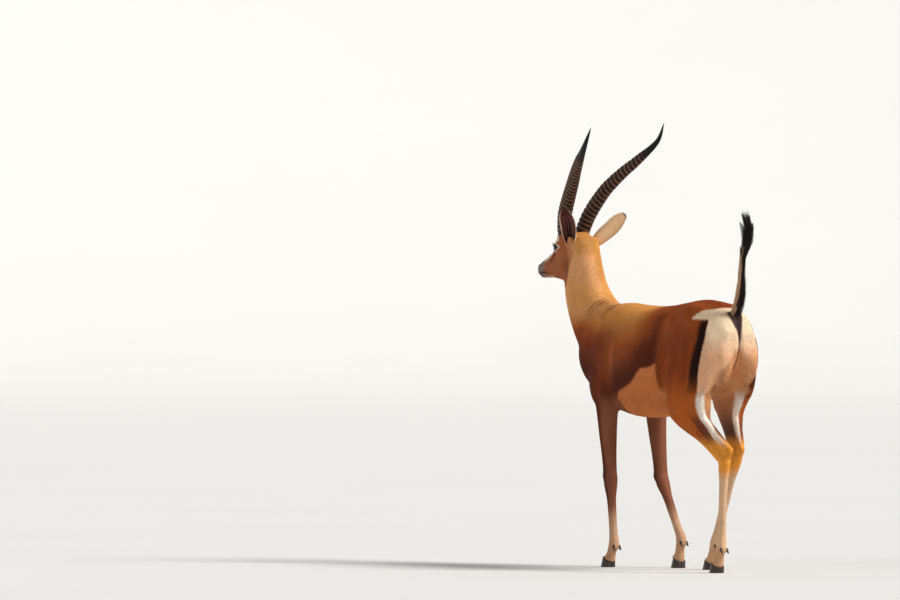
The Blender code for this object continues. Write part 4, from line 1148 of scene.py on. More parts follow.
def makeSkin():
    skin = skinVolumes()
    fuse = skin.modifiers.new("Fuse", "REMESH")
    fuse.mode = "VOXEL"
    fuse.voxel_size = skinForm["voxel"]
    settle(skin)
    points = pointsOf(skin.data)
    share = regions(points)
    weight = 1 - (1 - skinForm["legWeight"]) * ease(points[:, 2], 0.56, 0.42)
    weight = weight * (1 - share["head"]) + skinForm["headWeight"] * share["head"]
    weight = weight * (1 - share["tail"]) + 0.10 * share["tail"]
    points = soften(points, edgesOf(skin.data), 0.6 * weight, skinForm["trunkSoftening"])
    setPoints(skin.data, points)
    for reach, start, _ in skinForm["fineZones"]:
        finer(skin, faceZone(points, reach, start))
        points = pointsOf(skin.data)
    points = soften(points, edgesOf(skin.data), 0.5 * regions(points)["head"], 3)
    setPoints(skin.data, points)
    points = points + normalsOf(skin.data) * sculpt(points, normalsOf(skin.data))[:, None]
    points = tuckFeet(closeLids(points))
    setPoints(skin.data, points)
    print("skin before thinning", len(skin.data.polygons), "faces")
    thinnable = skin.vertex_groups.new(name="thinnable")
    level = np.ones(len(points))
    for reach, start, readiness in skinForm["fineZones"]:
        level = np.where(faceZone(points, reach, start), readiness, level)
    for step in np.unique(level):
        thinnable.add(np.nonzero(level == step)[0].tolist(), float(step), "REPLACE")
    skin.data.calc_loop_triangles()
    thin = skin.modifiers.new("Thin", "DECIMATE")
    thin.ratio = skinForm["triangles"] / len(skin.data.loop_triangles)
    thin.use_collapse_triangulate = True
    thin.vertex_group = thinnable.name
    thin.vertex_group_factor = 1
    settle(skin)
    skin.vertex_groups.clear()
    skin.data.shade_smooth()
    return skin


# Ears, horns, hooves and eyes

ear = {
    "length": 0.166,
    "halfWidth": 0.0275,
    "thickness": 0.0020,
    "rows": 60,
    "columns": 45,
    # which way each points and which way it opens, in the head
    "left": ((0.44, 0.56, 0.70), (0.72, 0.60, -0.30)),
    "right": ((-0.77, 0.16, 0.62), (-0.16, -0.95, 0.24)),
    "ridges": (-0.62, -0.2, 0.2, 0.62),  # inside the cup, from -1 at one rim to 1 at the other
    "ridgeHeight": 0.0007,
    "hairRows": (-0.66, -0.46, -0.16, 0.16, 0.46, 0.66),
    "hairs": 460,
    "rimHairs": 300,
    "tufts": 9000,
    "tuftLength": 0.0062,
}


def earAxes(word):
    turn = tiltedHead.to_3x3()
    way, opening = ear[word]
    way = (turn @ Vector(way)).normalized()
    opening = turn @ Vector(opening)
    opening = (opening - way * opening.dot(way)).normalized()
    side = 1 if word == "left" else -1
    base = inHead(0.002, side * 0.046, 0.020)
    return tuple(np.array(vector) for vector in (base, way, opening, way.cross(opening)))


def earRow(word, t):
    # the arc across the cup at the share t of its length: its lowest point, radius and half angle
    base, way, opening = earAxes(word)[:3]
    t = np.asarray(t, float)
    width = ear["halfWidth"] * (0.36 + 0.64 * np.sin(np.pi * np.minimum(1.0, t * 0.80 + 0.02)) ** 0.8)
    tip = np.sqrt(np.maximum(0.0, 1 - (np.maximum(0, t - 0.55) / 0.45) ** 2.4)) * 0.94 + 0.06
    width = width * np.where(t > 0.55, tip, 1.0)
    angle = np.radians(150 - 88 * np.minimum(1.0, t * 1.9) ** 0.8)
    radius = width / np.sin(np.minimum(angle, np.pi / 2))
    sag = 0.016 * (1 - t) + 0.010 * np.sin(np.pi * t)
    low = base + np.multiply.outer(ear["length"] * t - 0.010, way) - np.multiply.outer(sag, opening)
    return low, radius, angle


def earPoint(word, t, a):
    # a point of the cup: t along it, a from -1 at one rim to 1 at the other
    opening, across = earAxes(word)[2:]
    low, radius, angle = earRow(word, t)
    turn = a * angle
    sideways = (radius * np.sin(turn))[..., None] * across
    inward = (radius * (1 - np.cos(turn)))[..., None] * opening
    return low + sideways + inward


def makeEar(word):
    rows, columns = ear["rows"], ear["columns"]
    t, a = np.meshgrid(np.linspace(0, 1, rows) ** 0.92, np.linspace(-1, 1, columns), indexing="ij")
    points = earPoint(word, t.ravel(), a.ravel()).reshape(rows, columns, 3)
    bm = bmesh.new()
    grid = [[bm.verts.new(tuple(points[i, j])) for j in range(columns)] for i in range(rows)]
    for low, high in zip(grid, grid[1:]):
        for j in range(columns - 1):
            bm.faces.new((low[j], low[j + 1], high[j + 1], high[j]))
    bmesh.ops.recalc_face_normals(bm, faces=bm.faces)
    name = "ear" + word.title()
    made = newObject(name, bm)
    setAttribute(made.data, "along", t.ravel())
    setAttribute(made.data, "across", a.ravel())
    edge = made.vertex_groups.new(name="thick")
    amount = np.clip(1.25 - 0.85 * np.abs(a.ravel()) ** 3, 0, 1) * np.clip(3.2 * (1 - t.ravel()) + 0.35, 0, 1)
    for k, value in enumerate(np.round(amount, 2)):
        edge.add([k], float(value), "REPLACE")
    thick = made.modifiers.new("Thick", "SOLIDIFY")
    thick.thickness = ear["thickness"]
    thick.offset = 0
    thick.vertex_group = edge.name
    thick.thickness_vertex_group = 0.35
    settle(made)
    made.vertex_groups.clear()
    mesh = made.data
    t, a = readFloats(mesh, "along"), readFloats(mesh, "across")
    points, normals = pointsOf(mesh), normalsOf(mesh)
    opening = earAxes(word)[2]
    low, radius = earRow(word, t)[:2]
    inside = ((points - low - radius[:, None] * opening) * normals).sum(1) < 0
    ridges = sum(bell(a, place, 0.055) for place in ear["ridges"])
    ridges = ridges * ease(t, 0.10, 0.25) * ease(t, 0.95, 0.75)
    move = np.where(inside, ear["ridgeHeight"] * ridges, -0.4 * ear["ridgeHeight"] * ridges)
    setPoints(mesh, points + normals * move[:, None])
    setColours(mesh, earColours(t, a, inside))
    setAttribute(mesh, "strand", np.stack([t * 9, a * 60, inside * 5.0], 1))
    mesh.shade_smooth()
    return made


def earColours(t, a, inside):
    tone = {name: toLinear(value) for name, value in earTones.items()}
    rim = ease(np.abs(a), 0.80, 0.93)
    outer = mix(tone["back"], tone["backBase"], ease(t, 0.30, 0.05))
    outer = mix(outer, tone["rim"], rim * 0.6)
    # painted shade darkens the middle and base of the cup
    inner = mix(tone["inside"], tone["shadedCupMiddle"], bell(a, 0, 0.45) * ease(t, 0.75, 0.25))
    inner = mix(inner, tone["rim"], rim)
    both = np.where(inside[:, None], inner, outer)
    edge = ease(np.abs(a), 0.965, 0.995) * ease(t, 0.45, 0.70)
    return mix(both, tone["edge"], np.maximum(ease(t, 0.90, 0.985), edge))


earTones = {
    "back": (190, 152, 114),
    "backBase": (196, 138, 84),
    "rim": (236, 208, 180),
    "inside": (80, 36, 33),
    # painted shade deep in the cup
    "shadedCupMiddle": (24, 13, 12),
    "edge": (70, 46, 38),
    "hair": (150, 104, 92),
}


horn = {
    # the horn's curve from its root, in the head's turn but level: up, back, outward
    "curve": (
        (-0.034, -0.012, -0.007), (0.000, 0.000, 0.000), (0.061, 0.026, 0.014), (0.128, 0.082, 0.030),
        (0.164, 0.122, 0.043), (0.202, 0.172, 0.062), (0.240, 0.230, 0.084), (0.294, 0.306, 0.108),
        (0.350, 0.346, 0.110),
    ),
    "root": (0.055, 0.035, 0.066),
    # how much higher the right horn curls
    "rightRise": (0, 0, 0, 0.001, 0.002, 0.004, 0.007, 0.012, 0.018),
    "halfDepth": 0.0274,
    "halfWidth": 0.0220,
    "taper": (1.8, 0.70),  # girth is 1 less the first power of the share of the length, to the second power
    "rings": 26,
    "ringedShare": 0.80,
    "ringHeight": 0.0036,
    "rowsPerRing": 12,
    "sides": 44,
}


def hornCurve(side):
    root = inHead(horn["root"][0], side * horn["root"][1], horn["root"][2])
    turn = levelHead.to_3x3()
    curve = []
    for (up, back, out), rise in zip(horn["curve"], horn["rightRise"]):
        curve.append(root + turn @ Vector((side * out, back, up + (rise if side < 0 else 0))))
    return curve


def hornMesh(side):
    curve = spread(hornCurve(side), 30)
    lengths = np.concatenate([[0], np.cumsum(np.linalg.norm(np.diff(curve, axis=0), axis=1))])
    ringed = np.linspace(0, horn["ringedShare"], horn["rings"] * horn["rowsPerRing"])
    smooth = 1 - (1 - horn["ringedShare"]) * np.linspace(1, 0, 60)[1:] ** 1.4
    shares = np.concatenate([ringed, smooth])
    fore = np.array(levelHead.to_3x3() @ Vector((0, -1, 0.35)))
    centres = np.stack([np.interp(shares * lengths[-1], lengths, curve[:, k]) for k in range(3)], 1)
    along = np.gradient(centres, axis=0)
    along /= np.linalg.norm(along, axis=1)[:, None]
    front = fore - along * (along @ fore)[:, None]
    front /= np.linalg.norm(front, axis=1)[:, None]
    out = np.cross(along, front)
    inner, outer = horn["taper"]
    girth = np.maximum(0.07, (1 - shares**inner) ** outer)
    girth = girth * np.sqrt(np.clip(1 - (np.maximum(0, shares - 0.988) / 0.012) ** 2, 0.02, 1))
    angle = 2 * np.pi * np.arange(horn["sides"]) / horn["sides"]
    girth = girth[:, None, None]
    depth = horn["halfDepth"] * girth * np.cos(angle)[None, :, None] * front[:, None, :]
    width = horn["halfWidth"] * girth * np.sin(angle)[None, :, None] * out[:, None, :]
    bm = bmesh.new()
    addTube(bm, centres[:, None, :] + depth + width)
    made = newObject("horn" + ("Left" if side > 0 else "Right"), bm)
    # rings lean: they stand a little higher on the front of the horn than on its back
    lean = shares[:, None] - 0.006 * np.cos(angle)[None, :]
    setAttribute(made.data, "share", np.clip(lean, 0, 1).ravel())
    grain = np.stack(np.broadcast_arrays(shares[:, None] * 12, np.cos(angle), np.sin(angle)), -1)
    setAttribute(made.data, "front", grain[..., 1].ravel())
    setAttribute(made.data, "grain", grain.reshape(-1, 3))
    return made


def putNode(tree, kind, settings=None, **links):
    # adds a node; a link is named by the input's label, with _ for a space, or i and its number
    node = tree.nodes.new(kind)
    for key, value in (settings or {}).items():
        setattr(node, key, value)
    for key, value in links.items():
        socket = node.inputs[int(key[1:])] if key[1:].isdigit() else node.inputs[key.replace("_", " ")]
        if isinstance(value, bpy.types.NodeSocket):
            tree.links.new(value, socket)
        else:
            socket.default_value = value
    return node


def putMath(tree, operation, *values):
    links = {f"i{k}": value for k, value in enumerate(values)}
    return putNode(tree, "ShaderNodeMath", {"operation": operation}, **links).outputs[0]


def putNoise(tree, place, scale, detail, roughness=0.5):
    links = {"Vector": place, "Scale": scale, "Detail": detail, "Roughness": roughness}
    return putNode(tree, "ShaderNodeTexNoise", **links).outputs[0]


def putRange(tree, value, smooth=False, **ends):
    settings = {"interpolation_type": "SMOOTHSTEP"} if smooth else None
    return putNode(tree, "ShaderNodeMapRange", settings, Value=value, **ends).outputs[0]


class Tree:
    # a geometry node tree with named inputs, and short ways to add its nodes
    def __init__(self, name, inputs):
        self.tree = bpy.data.node_groups.new(name, "GeometryNodeTree")
        for way in ("OUTPUT", "INPUT"):
            self.tree.interface.new_socket("Geometry", in_out=way, socket_type="NodeSocketGeometry")
        self.identifiers = {}
        for label, kind, value in (*inputs, ("Finish", "Material", None)):
            socket = self.tree.interface.new_socket(label, in_out="INPUT", socket_type="NodeSocket" + kind)
            if value is not None:
                socket.default_value = value
            self.identifiers[label] = socket.identifier
        self.inputs = self.tree.nodes.new("NodeGroupInput").outputs
        self.end = self.tree.nodes.new("NodeGroupOutput")

    def add(self, kind, settings=None, **links):
        return putNode(self.tree, kind, settings, **links)

    def math(self, operation, *values):
        return putMath(self.tree, operation, *values)

    def rise(self, value, low, high):
        # smoothly from 0 at low to 1 at high
        return putRange(self.tree, value, True, From_Min=low, From_Max=high)

    def scaled(self, vector, amount):
        return self.add("ShaderNodeVectorMath", {"operation": "SCALE"}, i0=vector, Scale=amount).outputs[0]

    def named(self, name, kind="FLOAT"):
        node = self.add("GeometryNodeInputNamedAttribute", {"data_type": kind}, Name=name)
        return node.outputs["Attribute"]

    def store(self, geometry, name, value):
        settings = {"data_type": "FLOAT", "domain": "POINT"}
        kind = "GeometryNodeStoreNamedAttribute"
        return self.add(kind, settings, Geometry=geometry, Name=name, Value=value).outputs["Geometry"]

    def close(self, geometry):
        whole = self.add("GeometryNodeRealizeInstances", Geometry=geometry).outputs["Geometry"]
        finished = self.add("GeometryNodeSetMaterial", Geometry=whole, Material=self.inputs["Finish"])
        self.tree.links.new(finished.outputs["Geometry"], self.end.inputs["Geometry"])

    def apply(self, obj, values):
        modifier = obj.modifiers.new(self.tree.name, "NODES")
        modifier.node_group = self.tree
        for label, value in values.items():
            modifier[self.identifiers[label]] = value
        settle(obj)


def hornRingTree():
    made = Tree("HornRings", (
        ("Rings", "Float", 26.0), ("Height", "Float", 0.003), ("Ringed share", "Float", 0.8),
    ))
    inputs = made.inputs
    share = made.named("share")
    uneven = putNoise(made.tree, made.named("grain", "FLOAT_VECTOR"), 2.2, 1.0)
    turns = made.math("MULTIPLY", made.math("DIVIDE", share, inputs["Ringed share"]), inputs["Rings"])
    turns = made.math("MULTIPLY_ADD", uneven, 0.55, turns)
    part = made.math("POWER", made.math("FRACT", turns), 0.80)
    wave = made.math("SINE", made.math("MULTIPLY", part, math.pi))
    # the rings fade in above the root and out where the smooth tip begins
    crest = made.rise(wave, 0.22, 0.95)
    crest = made.math("MULTIPLY", crest, made.rise(share, horn["ringedShare"], horn["ringedShare"] - 0.10))
    crest = made.math("MULTIPLY", crest, made.rise(share, 0.056, 0.078))
    stored = made.store(inputs["Geometry"], "crest", crest)
    # strongest on the front, weaker behind, and lower towards the tip
    facing = made.math("MULTIPLY_ADD", made.named("front"), 0.34, 0.66)
    size = made.math("MULTIPLY", made.math("MULTIPLY_ADD", share, -0.55, 1.0), inputs["Height"])
    reach = made.math("MULTIPLY", made.math("MULTIPLY", made.math("SUBTRACT", crest, 0.25), facing), size)
    offset = made.scaled(made.add("GeometryNodeInputNormal").outputs[0], reach)
    moved = made.add("GeometryNodeSetPosition", Geometry=stored, Offset=offset)
    made.close(moved.outputs["Geometry"])
    return made


def makeHorn(side, tree, finish):
    made = hornMesh(side)
    made.data.shade_smooth()
    tree.apply(made, {
        "Rings": float(horn["rings"]), "Height": horn["ringHeight"],
        "Ringed share": horn["ringedShare"], "Finish": finish,
    })
    made.data.shade_smooth()
    return made


def clawOutline(side, share, steps=26):
    # one claw seen from above, share 0 at the sole and 1 at the top; points run round from the heel
    length = hoof["length"]
    toe = -0.66 * length * (1 - share) - 0.10 * length * share
    heel = 0.36 * length * (1 - share) + 0.33 * length * share
    width = hoof["clawWidth"] * (1 - 0.10 * share)
    t = np.arange(steps + 1) / steps
    bulge = np.sin(np.pi * (0.24 + 0.76 * t)) ** 0.8 * (t < 1) * (0.30 + 0.70 * ease(t, -0.06, 0.13))
    outer = np.stack([side * (hoof["cleft"] + width * np.nan_to_num(bulge)), heel + (toe - heel) * t], 1)
    t = np.linspace(0.06, 1, 14)
    hollow = side * (hoof["cleft"] + 0.0011 * np.sin(np.pi * t) ** 2)
    inner = np.stack([hollow, toe + (heel - toe) * t], 1)
    return np.vstack([outer, inner])


def makeClaw(name, sole, side):
    # outlines at five heights, and between them a wall whose upper edge slopes down to the heel
    stack = np.stack([clawOutline(side, share) for share in (0, 0.25, 0.5, 0.75, 1.0)])
    every = np.arange(stack.shape[1])
    rings = []
    for t in np.concatenate([[0.0, 0.012, 0.03], np.linspace(0.06, 1, 44)]):
        outline = clawOutline(side, 0.3)
        for _ in range(6):
            height = t * (hoof["coronetHeight"] - hoof["coronetSlope"] * outline[:, 1].clip(-0.05, 0.03))
            spot = np.clip(height / 0.060, 0, 1) * 4
            low = np.minimum(spot.astype(int), 3)
            blend = (spot - low)[:, None]
            outline = stack[low, every] * (1 - blend) + stack[low + 1, every] * blend
        middle = outline.mean(0)
        wave = 1 + hoof["ringHeight"] * np.sin(t * hoof["rings"] * 2 * np.pi) * ease(t, 0.05, 0.2)
        wave = wave - 0.05 * ease(t, 0.03, 0.0) - 0.035 * ease(t, 0.93, 1.0)
        outline = middle + (outline - middle) * wave
        rings.append([sole + Vector((x, y, h)) for (x, y), h in zip(outline, height)])
    bm = bmesh.new()
    rows = addTube(bm, rings)
    heights = [k / (len(rows) - 1) for k, row in enumerate(rows) for _ in row]
    made = newObject(name, bm)
    setAttribute(made.data, "share", heights)
    made.data.shade_smooth()
    made.data.set_sharp_from_angle(angle=math.radians(48))
    return made


def makeDewclaws(name, ankle):
    bm = bmesh.new()
    for sideways in (0.0105, -0.0105):
        root = ankle + Vector((sideways, 0.0165, -0.0125))
        addStrand(bm, root, root + Vector((0.12 * sideways, 0.0085, -0.0115)), 0.0052, 0.0026, 20)
    made = newObject(name, bm)
    mesh = made.data
    heights = pointsOf(mesh)[:, 2]
    setAttribute(mesh, "share", (heights - heights.min()) / np.ptp(heights))
    mesh.shade_smooth()
    return made


def makeEye(side):
    bm = bmesh.new()
    bmesh.ops.create_uvsphere(bm, u_segments=72, v_segments=48, radius=1)
    gaze = np.array([vertex.co for vertex in bm.verts])
    polar = np.arccos(np.clip(gaze[:, 2], -1, 1))
    bulge = np.clip(1 - (polar / math.radians(eye["corneaAngle"])) ** 2, 0, 1)
    reach = eye["radius"] * (1 + eye["corneaBulge"] * bulge)
    place = eyeFrame(side)
    for vertex, radius in zip(bm.verts, reach):
        vertex.co = place @ (vertex.co * radius)
    made = newObject("eye" + ("Left" if side > 0 else "Right"), bm)
    setAttribute(made.data, "gaze", gaze)
    made.data.shade_smooth()
    return made


# Hair: short flat tufts sown over the skin, and longer hairs on tail, ears, lashes and muzzle

coat = {
    "seed": 11,
    "cover": 1.72,  # how many tufts lie over each point of the skin
    "length": 0.0118,
    "width": 0.00165,
    "thickness": 0.00050,
    "legLength": 0.0080,
    "legWidth": 0.0016,
    "faceLength": 0.0052,
    "faceWidth": 0.0013,
    "lift": 0.085,  # how far a tip rises, as a share of the tuft's length
    "stray": 0.11,  # how far single tufts turn aside, and how far whole patches do, in radians
    "swirl": 0.16,
    "tint": 0.095,
    "patch": 0.003,  # size of a tuft's patch on the flattened coat
    # where the coat is divided, in u
    "rumpEnd": 0.26,
    "shoulderStart": 0.56,
    "betweenLegs": 0.44,
}


def tuftSizes(points, share):
    forward = headPlace(points)[0]
    length = coat["length"] * (1 - share["leg"]) + coat["legLength"] * share["leg"]
    width = coat["width"] * (1 - share["leg"]) + coat["legWidth"] * share["leg"]
    low = ease(points[:, 2], 0.20, 0.05)
    length = length * (1 - 0.25 * low)
    tip = ease(forward, 0.10, 0.26)
    face = faceShare(points)
    length = length * (1 - face) + coat["faceLength"] * (1 - 0.35 * tip) * face
    width = width * (1 - face) + coat["faceWidth"] * (1 - 0.25 * tip) * face
    for sign in (1, -1):
        length = length * (0.45 + 0.55 * ease(eyeDistance(points, sign), 0.021, 0.036))
    return length * (1 - 0.35 * ease(forward, 0.235, 0.262)), width


def bareOf(points):
    # where no tuft may root: between the lids, in the nostrils and mouth, and under the hooves
    forward, left, up = headPlace(points)
    bare = nosePad(forward, np.abs(left), up) > 0.5
    for sign in (1, -1):
        local = inEye(points, sign)
        bare |= (lidEdge(local) < 1.16) & (local[:, 2] > 0) & (np.linalg.norm(local, axis=1) < 0.024)
        bare |= nostrilMask(forward, left * sign, up) > 0.10
    bare |= (np.abs(up - mouthHeight(forward)) < 0.0014) & (forward > 0.196)
    for joints in legs["joints"].values():
        local, over, above = footPlace(points, joints)
        bare |= over & (above < 0.001)
    return bare


def sowTufts(skin):
    # draws a root for every tuft, denser where tufts are smaller, and returns all that a tuft needs
    mesh = skin.data
    mesh.calc_loop_triangles()
    corners = readOut(mesh.loop_triangles, "vertices", 3, np.int32)
    points, normals = pointsOf(mesh), normalsOf(mesh)
    a, b, c = (points[corners[:, k]] for k in range(3))
    area = np.linalg.norm(np.cross(b - a, c - a), axis=1) / 2
    middle = (a + b + c) / 3
    length, width = tuftSizes(middle, regions(middle))
    wanted = area * coat["cover"] / (0.5 * length * width)
    rng = np.random.default_rng(coat["seed"])
    chosen = rng.choice(len(area), int(wanted.sum()), p=wanted / wanted.sum())
    r, q = np.sqrt(rng.random(len(chosen))), rng.random(len(chosen))
    weights = np.stack([1 - r, r * (1 - q), r * q], 1)[:, :, None]
    roots = (points[corners[chosen]] * weights).sum(1)
    facing = (normals[corners[chosen]] * weights).sum(1)
    facing /= np.linalg.norm(facing, axis=1)[:, None]
    keep = ~bareOf(roots)
    return roots[keep], facing[keep]


def tuftMesh(name, roots, facing, share, rng):
    length, width = tuftSizes(roots, share)
    lie = lieOf(roots, facing, share)
    swirl = coat["swirl"] * ripple(roots, 45, 21)
    rise = coat["lift"] * (1 - 0.7 * ease(headPlace(roots)[0], 0.225, 0.255) * share["head"])
    colour = coatColours(roots + lie * (0.4 * length)[:, None], facing)
    return sliverMesh(name, roots, facing, lie, swirl, length, width, rise, colour, unwrap(roots, share), rng)


def sliverMesh(name, roots, facing, lie, swirl, length, width, rise, colour, base, rng):
    # each tuft is a flat, closed sliver of four faces, with the skin's own normals
    count = len(roots)
    length = length * rng.uniform(0.75, 1.25, count)
    width = width * rng.uniform(0.8, 1.2, count)
    side = np.cross(facing, lie)
    stray = (rng.normal(0, coat["stray"], count) + swirl)[:, None]
    lie = lie * np.cos(stray) + side * np.sin(stray)
    side = np.cross(facing, lie)
    lift = (rise * rng.uniform(0.5, 1.5, count) * length)[:, None] * facing
    thick = coat["thickness"] * (width / coat["width"])[:, None]
    left = roots - side * width[:, None] / 2 - facing * 0.0002
    right = roots + side * width[:, None] / 2 - facing * 0.0002
    top = roots + lie * length[:, None] * 0.12 + facing * thick + lift * 0.15
    tip = roots + lie * length[:, None] + lift
    points = np.stack([left, right, top, tip], 1).reshape(-1, 3)
    start = np.arange(count)[:, None, None] * 4
    faces = start + np.array([(1, 2, 3), (0, 3, 2), (0, 1, 3), (0, 2, 1)])[None]
    colour = colour * (1 + coat["tint"] * rng.normal(0, 1, count).clip(-2, 2))[:, None]
    half = coat["patch"] / 2
    spots = base[:, None, :] + np.array([(-half, -half), (half, -half), (0, 0), (0, half)])[None]
    mesh = meshFrom(name, points, faces.reshape(-1, 3))
    shade = np.repeat(colour, 4, axis=0).reshape(-1, 4, 3)
    shade[:, 3] *= 1.05
    shade[:, :2] *= 0.94
    setColours(mesh, shade.reshape(-1, 3).clip(0, 1))
    setPatches(mesh, spots.reshape(-1, 2)[faces.reshape(-1)])
    made = addObject(name, mesh)
    mesh.normals_split_custom_set_from_vertices(np.repeat(facing + 0.10 * lie, 4, axis=0).tolist())
    return made


def earTufts(word):
    # short hair over the back of the ear and a little way round its rims
    rng = np.random.default_rng(51 if word == "left" else 52)
    way, opening = earAxes(word)[1:3]
    count = ear["tufts"]
    t, a = rng.uniform(0.03, 0.965, count), rng.uniform(-0.985, 0.985, count)
    keep = rng.random(count) < earRow(word, t)[1] * earRow(word, t)[2] / 0.036
    t, a = t[keep], a[keep]
    low, radius = earRow(word, t)[:2]
    place = earPoint(word, t, a)
    facing = unit(place - low - radius[:, None] * opening)
    place = place + facing * ear["thickness"] * (0.5 - 0.15 * np.abs(a))[:, None]
    lie = unit(way - facing * (facing @ way)[:, None])
    length = np.full(len(t), ear["tuftLength"]) * (1 - 0.25 * t)
    colour = earColours(t, a, np.zeros(len(t), bool))
    flat = np.stack([0.665 + 0.15 * t, 0.80 + 0.008 * (a + 1)], 1)
    width = np.full(len(t), coat["faceWidth"])
    name = "coatEar" + word.title()
    return sliverMesh(name, place, facing, lie, 0.12 * a, length, width, 0.05, colour, flat, rng)


def meshFrom(name, points, triangles):
    mesh = bpy.data.meshes.new(name)
    mesh.vertices.add(len(points))
    mesh.vertices.foreach_set("co", points.astype(np.float32).ravel())
    mesh.loops.add(triangles.size)
    mesh.loops.foreach_set("vertex_index", triangles.astype(np.int32).ravel())
    mesh.polygons.add(len(triangles))
    mesh.polygons.foreach_set("loop_start", np.arange(0, triangles.size, 3, dtype=np.int32))
    mesh.update(calc_edges=True)
    mesh.shade_smooth()
    return mesh


def setPatches(mesh, spots):
    layer = mesh.uv_layers.new(name="OFBake")
    layer.data.foreach_set("uv", np.clip(spots, 0, 1).astype(np.float32).ravel())


def coatPieces(skin):
    # the coat is divided where a keeper would name its parts; each piece is paired with a slot name
    roots, facing = sowTufts(skin)
    share = regions(roots)
    u, s = bodyPlace(roots)[:2]
    head, leg, onNeck = share["head"] > 0.5, share["leg"] > 0.5, share["neck"] > 0.5
    onTrunk = ~head & ~leg & ~onNeck
    rear, front, hind = u < coat["rumpEnd"], u >= coat["shoulderStart"], u < coat["betweenLegs"]
    left, faceLeft = s > 0, headPlace(roots)[1] > 0
    places = [
        ("coatHeadLeft", head & faceLeft, "face_coat"),
        ("coatHeadRight", head & ~faceLeft, "face_coat"),
        ("coatNeck", onNeck & ~head & ~leg, "body_coat"),
    ]
    for name, where, slot in (
        ("Rump", onTrunk & rear, "body_coat"),
        ("Flank", onTrunk & ~rear & ~front, "body_coat"),
        ("Shoulder", onTrunk & front, "body_coat"),
        ("Hindleg", leg & hind, "leg_coat"),
        ("Foreleg", leg & ~hind, "leg_coat"),
    ):
        places += [(f"coat{name}Left", where & left, slot), (f"coat{name}Right", where & ~left, slot)]
    made = []
    for k, (name, chosen, slot) in enumerate(places):
        part = {key: value[chosen] for key, value in share.items()}
        rng = np.random.default_rng(coat["seed"] + k + 1)
        piece = tuftMesh(name, roots[chosen], facing[chosen], part, rng)
        made.append((piece, slot))
        print(name, len(piece.data.polygons), "faces")
    return made


def bristleTree():
    # a tapered hair on every point, along its own way, bent by its own curl
    made = Tree("Bristles", (("Sides", "Int", 4), ("Steps", "Int", 5)))
    inputs = made.inputs
    cone = made.add("GeometryNodeMeshCone", Vertices=inputs["Sides"], Side_Segments=inputs["Steps"])
    for label, value in (("Radius Top", 0.06), ("Radius Bottom", 1.0), ("Depth", 1.0)):
        cone.inputs[label].default_value = value
    place = made.add("GeometryNodeInputPosition").outputs[0]
    height = made.add("ShaderNodeSeparateXYZ", i0=place).outputs["Z"]
    grown = made.store(cone.outputs["Mesh"], "along", height)
    way = made.named("way", "FLOAT_VECTOR")
    turn = made.add("FunctionNodeAlignRotationToVector", {"axis": "Z"}, Vector=way)
    thick = made.named("thick")
    size = made.add("ShaderNodeCombineXYZ", X=thick, Y=thick, Z=made.named("long"))
    placed = made.add(
        "GeometryNodeInstanceOnPoints", Points=inputs["Geometry"], Instance=grown,
        Rotation=turn.outputs["Rotation"], Scale=size.outputs["Vector"],
    )
    whole = made.add("GeometryNodeRealizeInstances", Geometry=placed.outputs["Instances"])
    along = made.named("along")
    curl = made.scaled(made.named("curl", "FLOAT_VECTOR"), made.math("MULTIPLY", along, along))
    bent = made.add("GeometryNodeSetPosition", Geometry=whole.outputs["Geometry"], Offset=curl)
    made.close(bent.outputs["Geometry"])
    return made


def makeBristles(name, tree, finish, hairs, sides=4, steps=5):
    # hairs: rows of root, way, length, thickness, curl, colour and place on the flattened coat
    count = len(hairs["root"])
    mesh = bpy.data.meshes.new(name)
    mesh.vertices.add(count)
    mesh.vertices.foreach_set("co", np.asarray(hairs["root"], np.float32).ravel())
    for key in ("way", "long", "thick", "curl"):
        setAttribute(mesh, key, hairs[key])
    setColours(mesh, hairs["colour"])
    setAttribute(mesh, "flat", np.hstack([hairs["flat"], np.zeros((count, 1))]))
    made = addObject(name, mesh)
    tree.apply(made, {"Sides": sides, "Steps": steps, "Finish": finish})
    mesh = made.data
    mesh.shade_smooth()
    spots = readOut(mesh.attributes["flat"].data, "vector", 3)[:, :2].astype(float)
    spots[:, 1] += coat["patch"] * (readFloats(mesh, "along") - 0.5)
    corners = readOut(mesh.loops, "vertex_index", 1, np.int32)
    spots = spots[corners] + coat["patch"] * 0.3 * np.stack([np.sin(corners * 2.1), 0 * corners], 1)
    while mesh.uv_layers:
        mesh.uv_layers.remove(mesh.uv_layers[0])
    setPatches(mesh, spots)
    return made


def roundDock(start, angle):
    # at places along the tail: its middle, its half width, its way, and a way out from it at an angle
    centre, girth = tailPoint(start)
    ahead = unit(tailPoint(start + 0.35)[0] - tailPoint(start - 0.35)[0])
    out = np.stack([np.cos(angle), np.sin(angle), np.zeros(len(angle))], 1)
    return centre, girth, ahead, unit(out - ahead * (out * ahead).sum(1)[:, None])


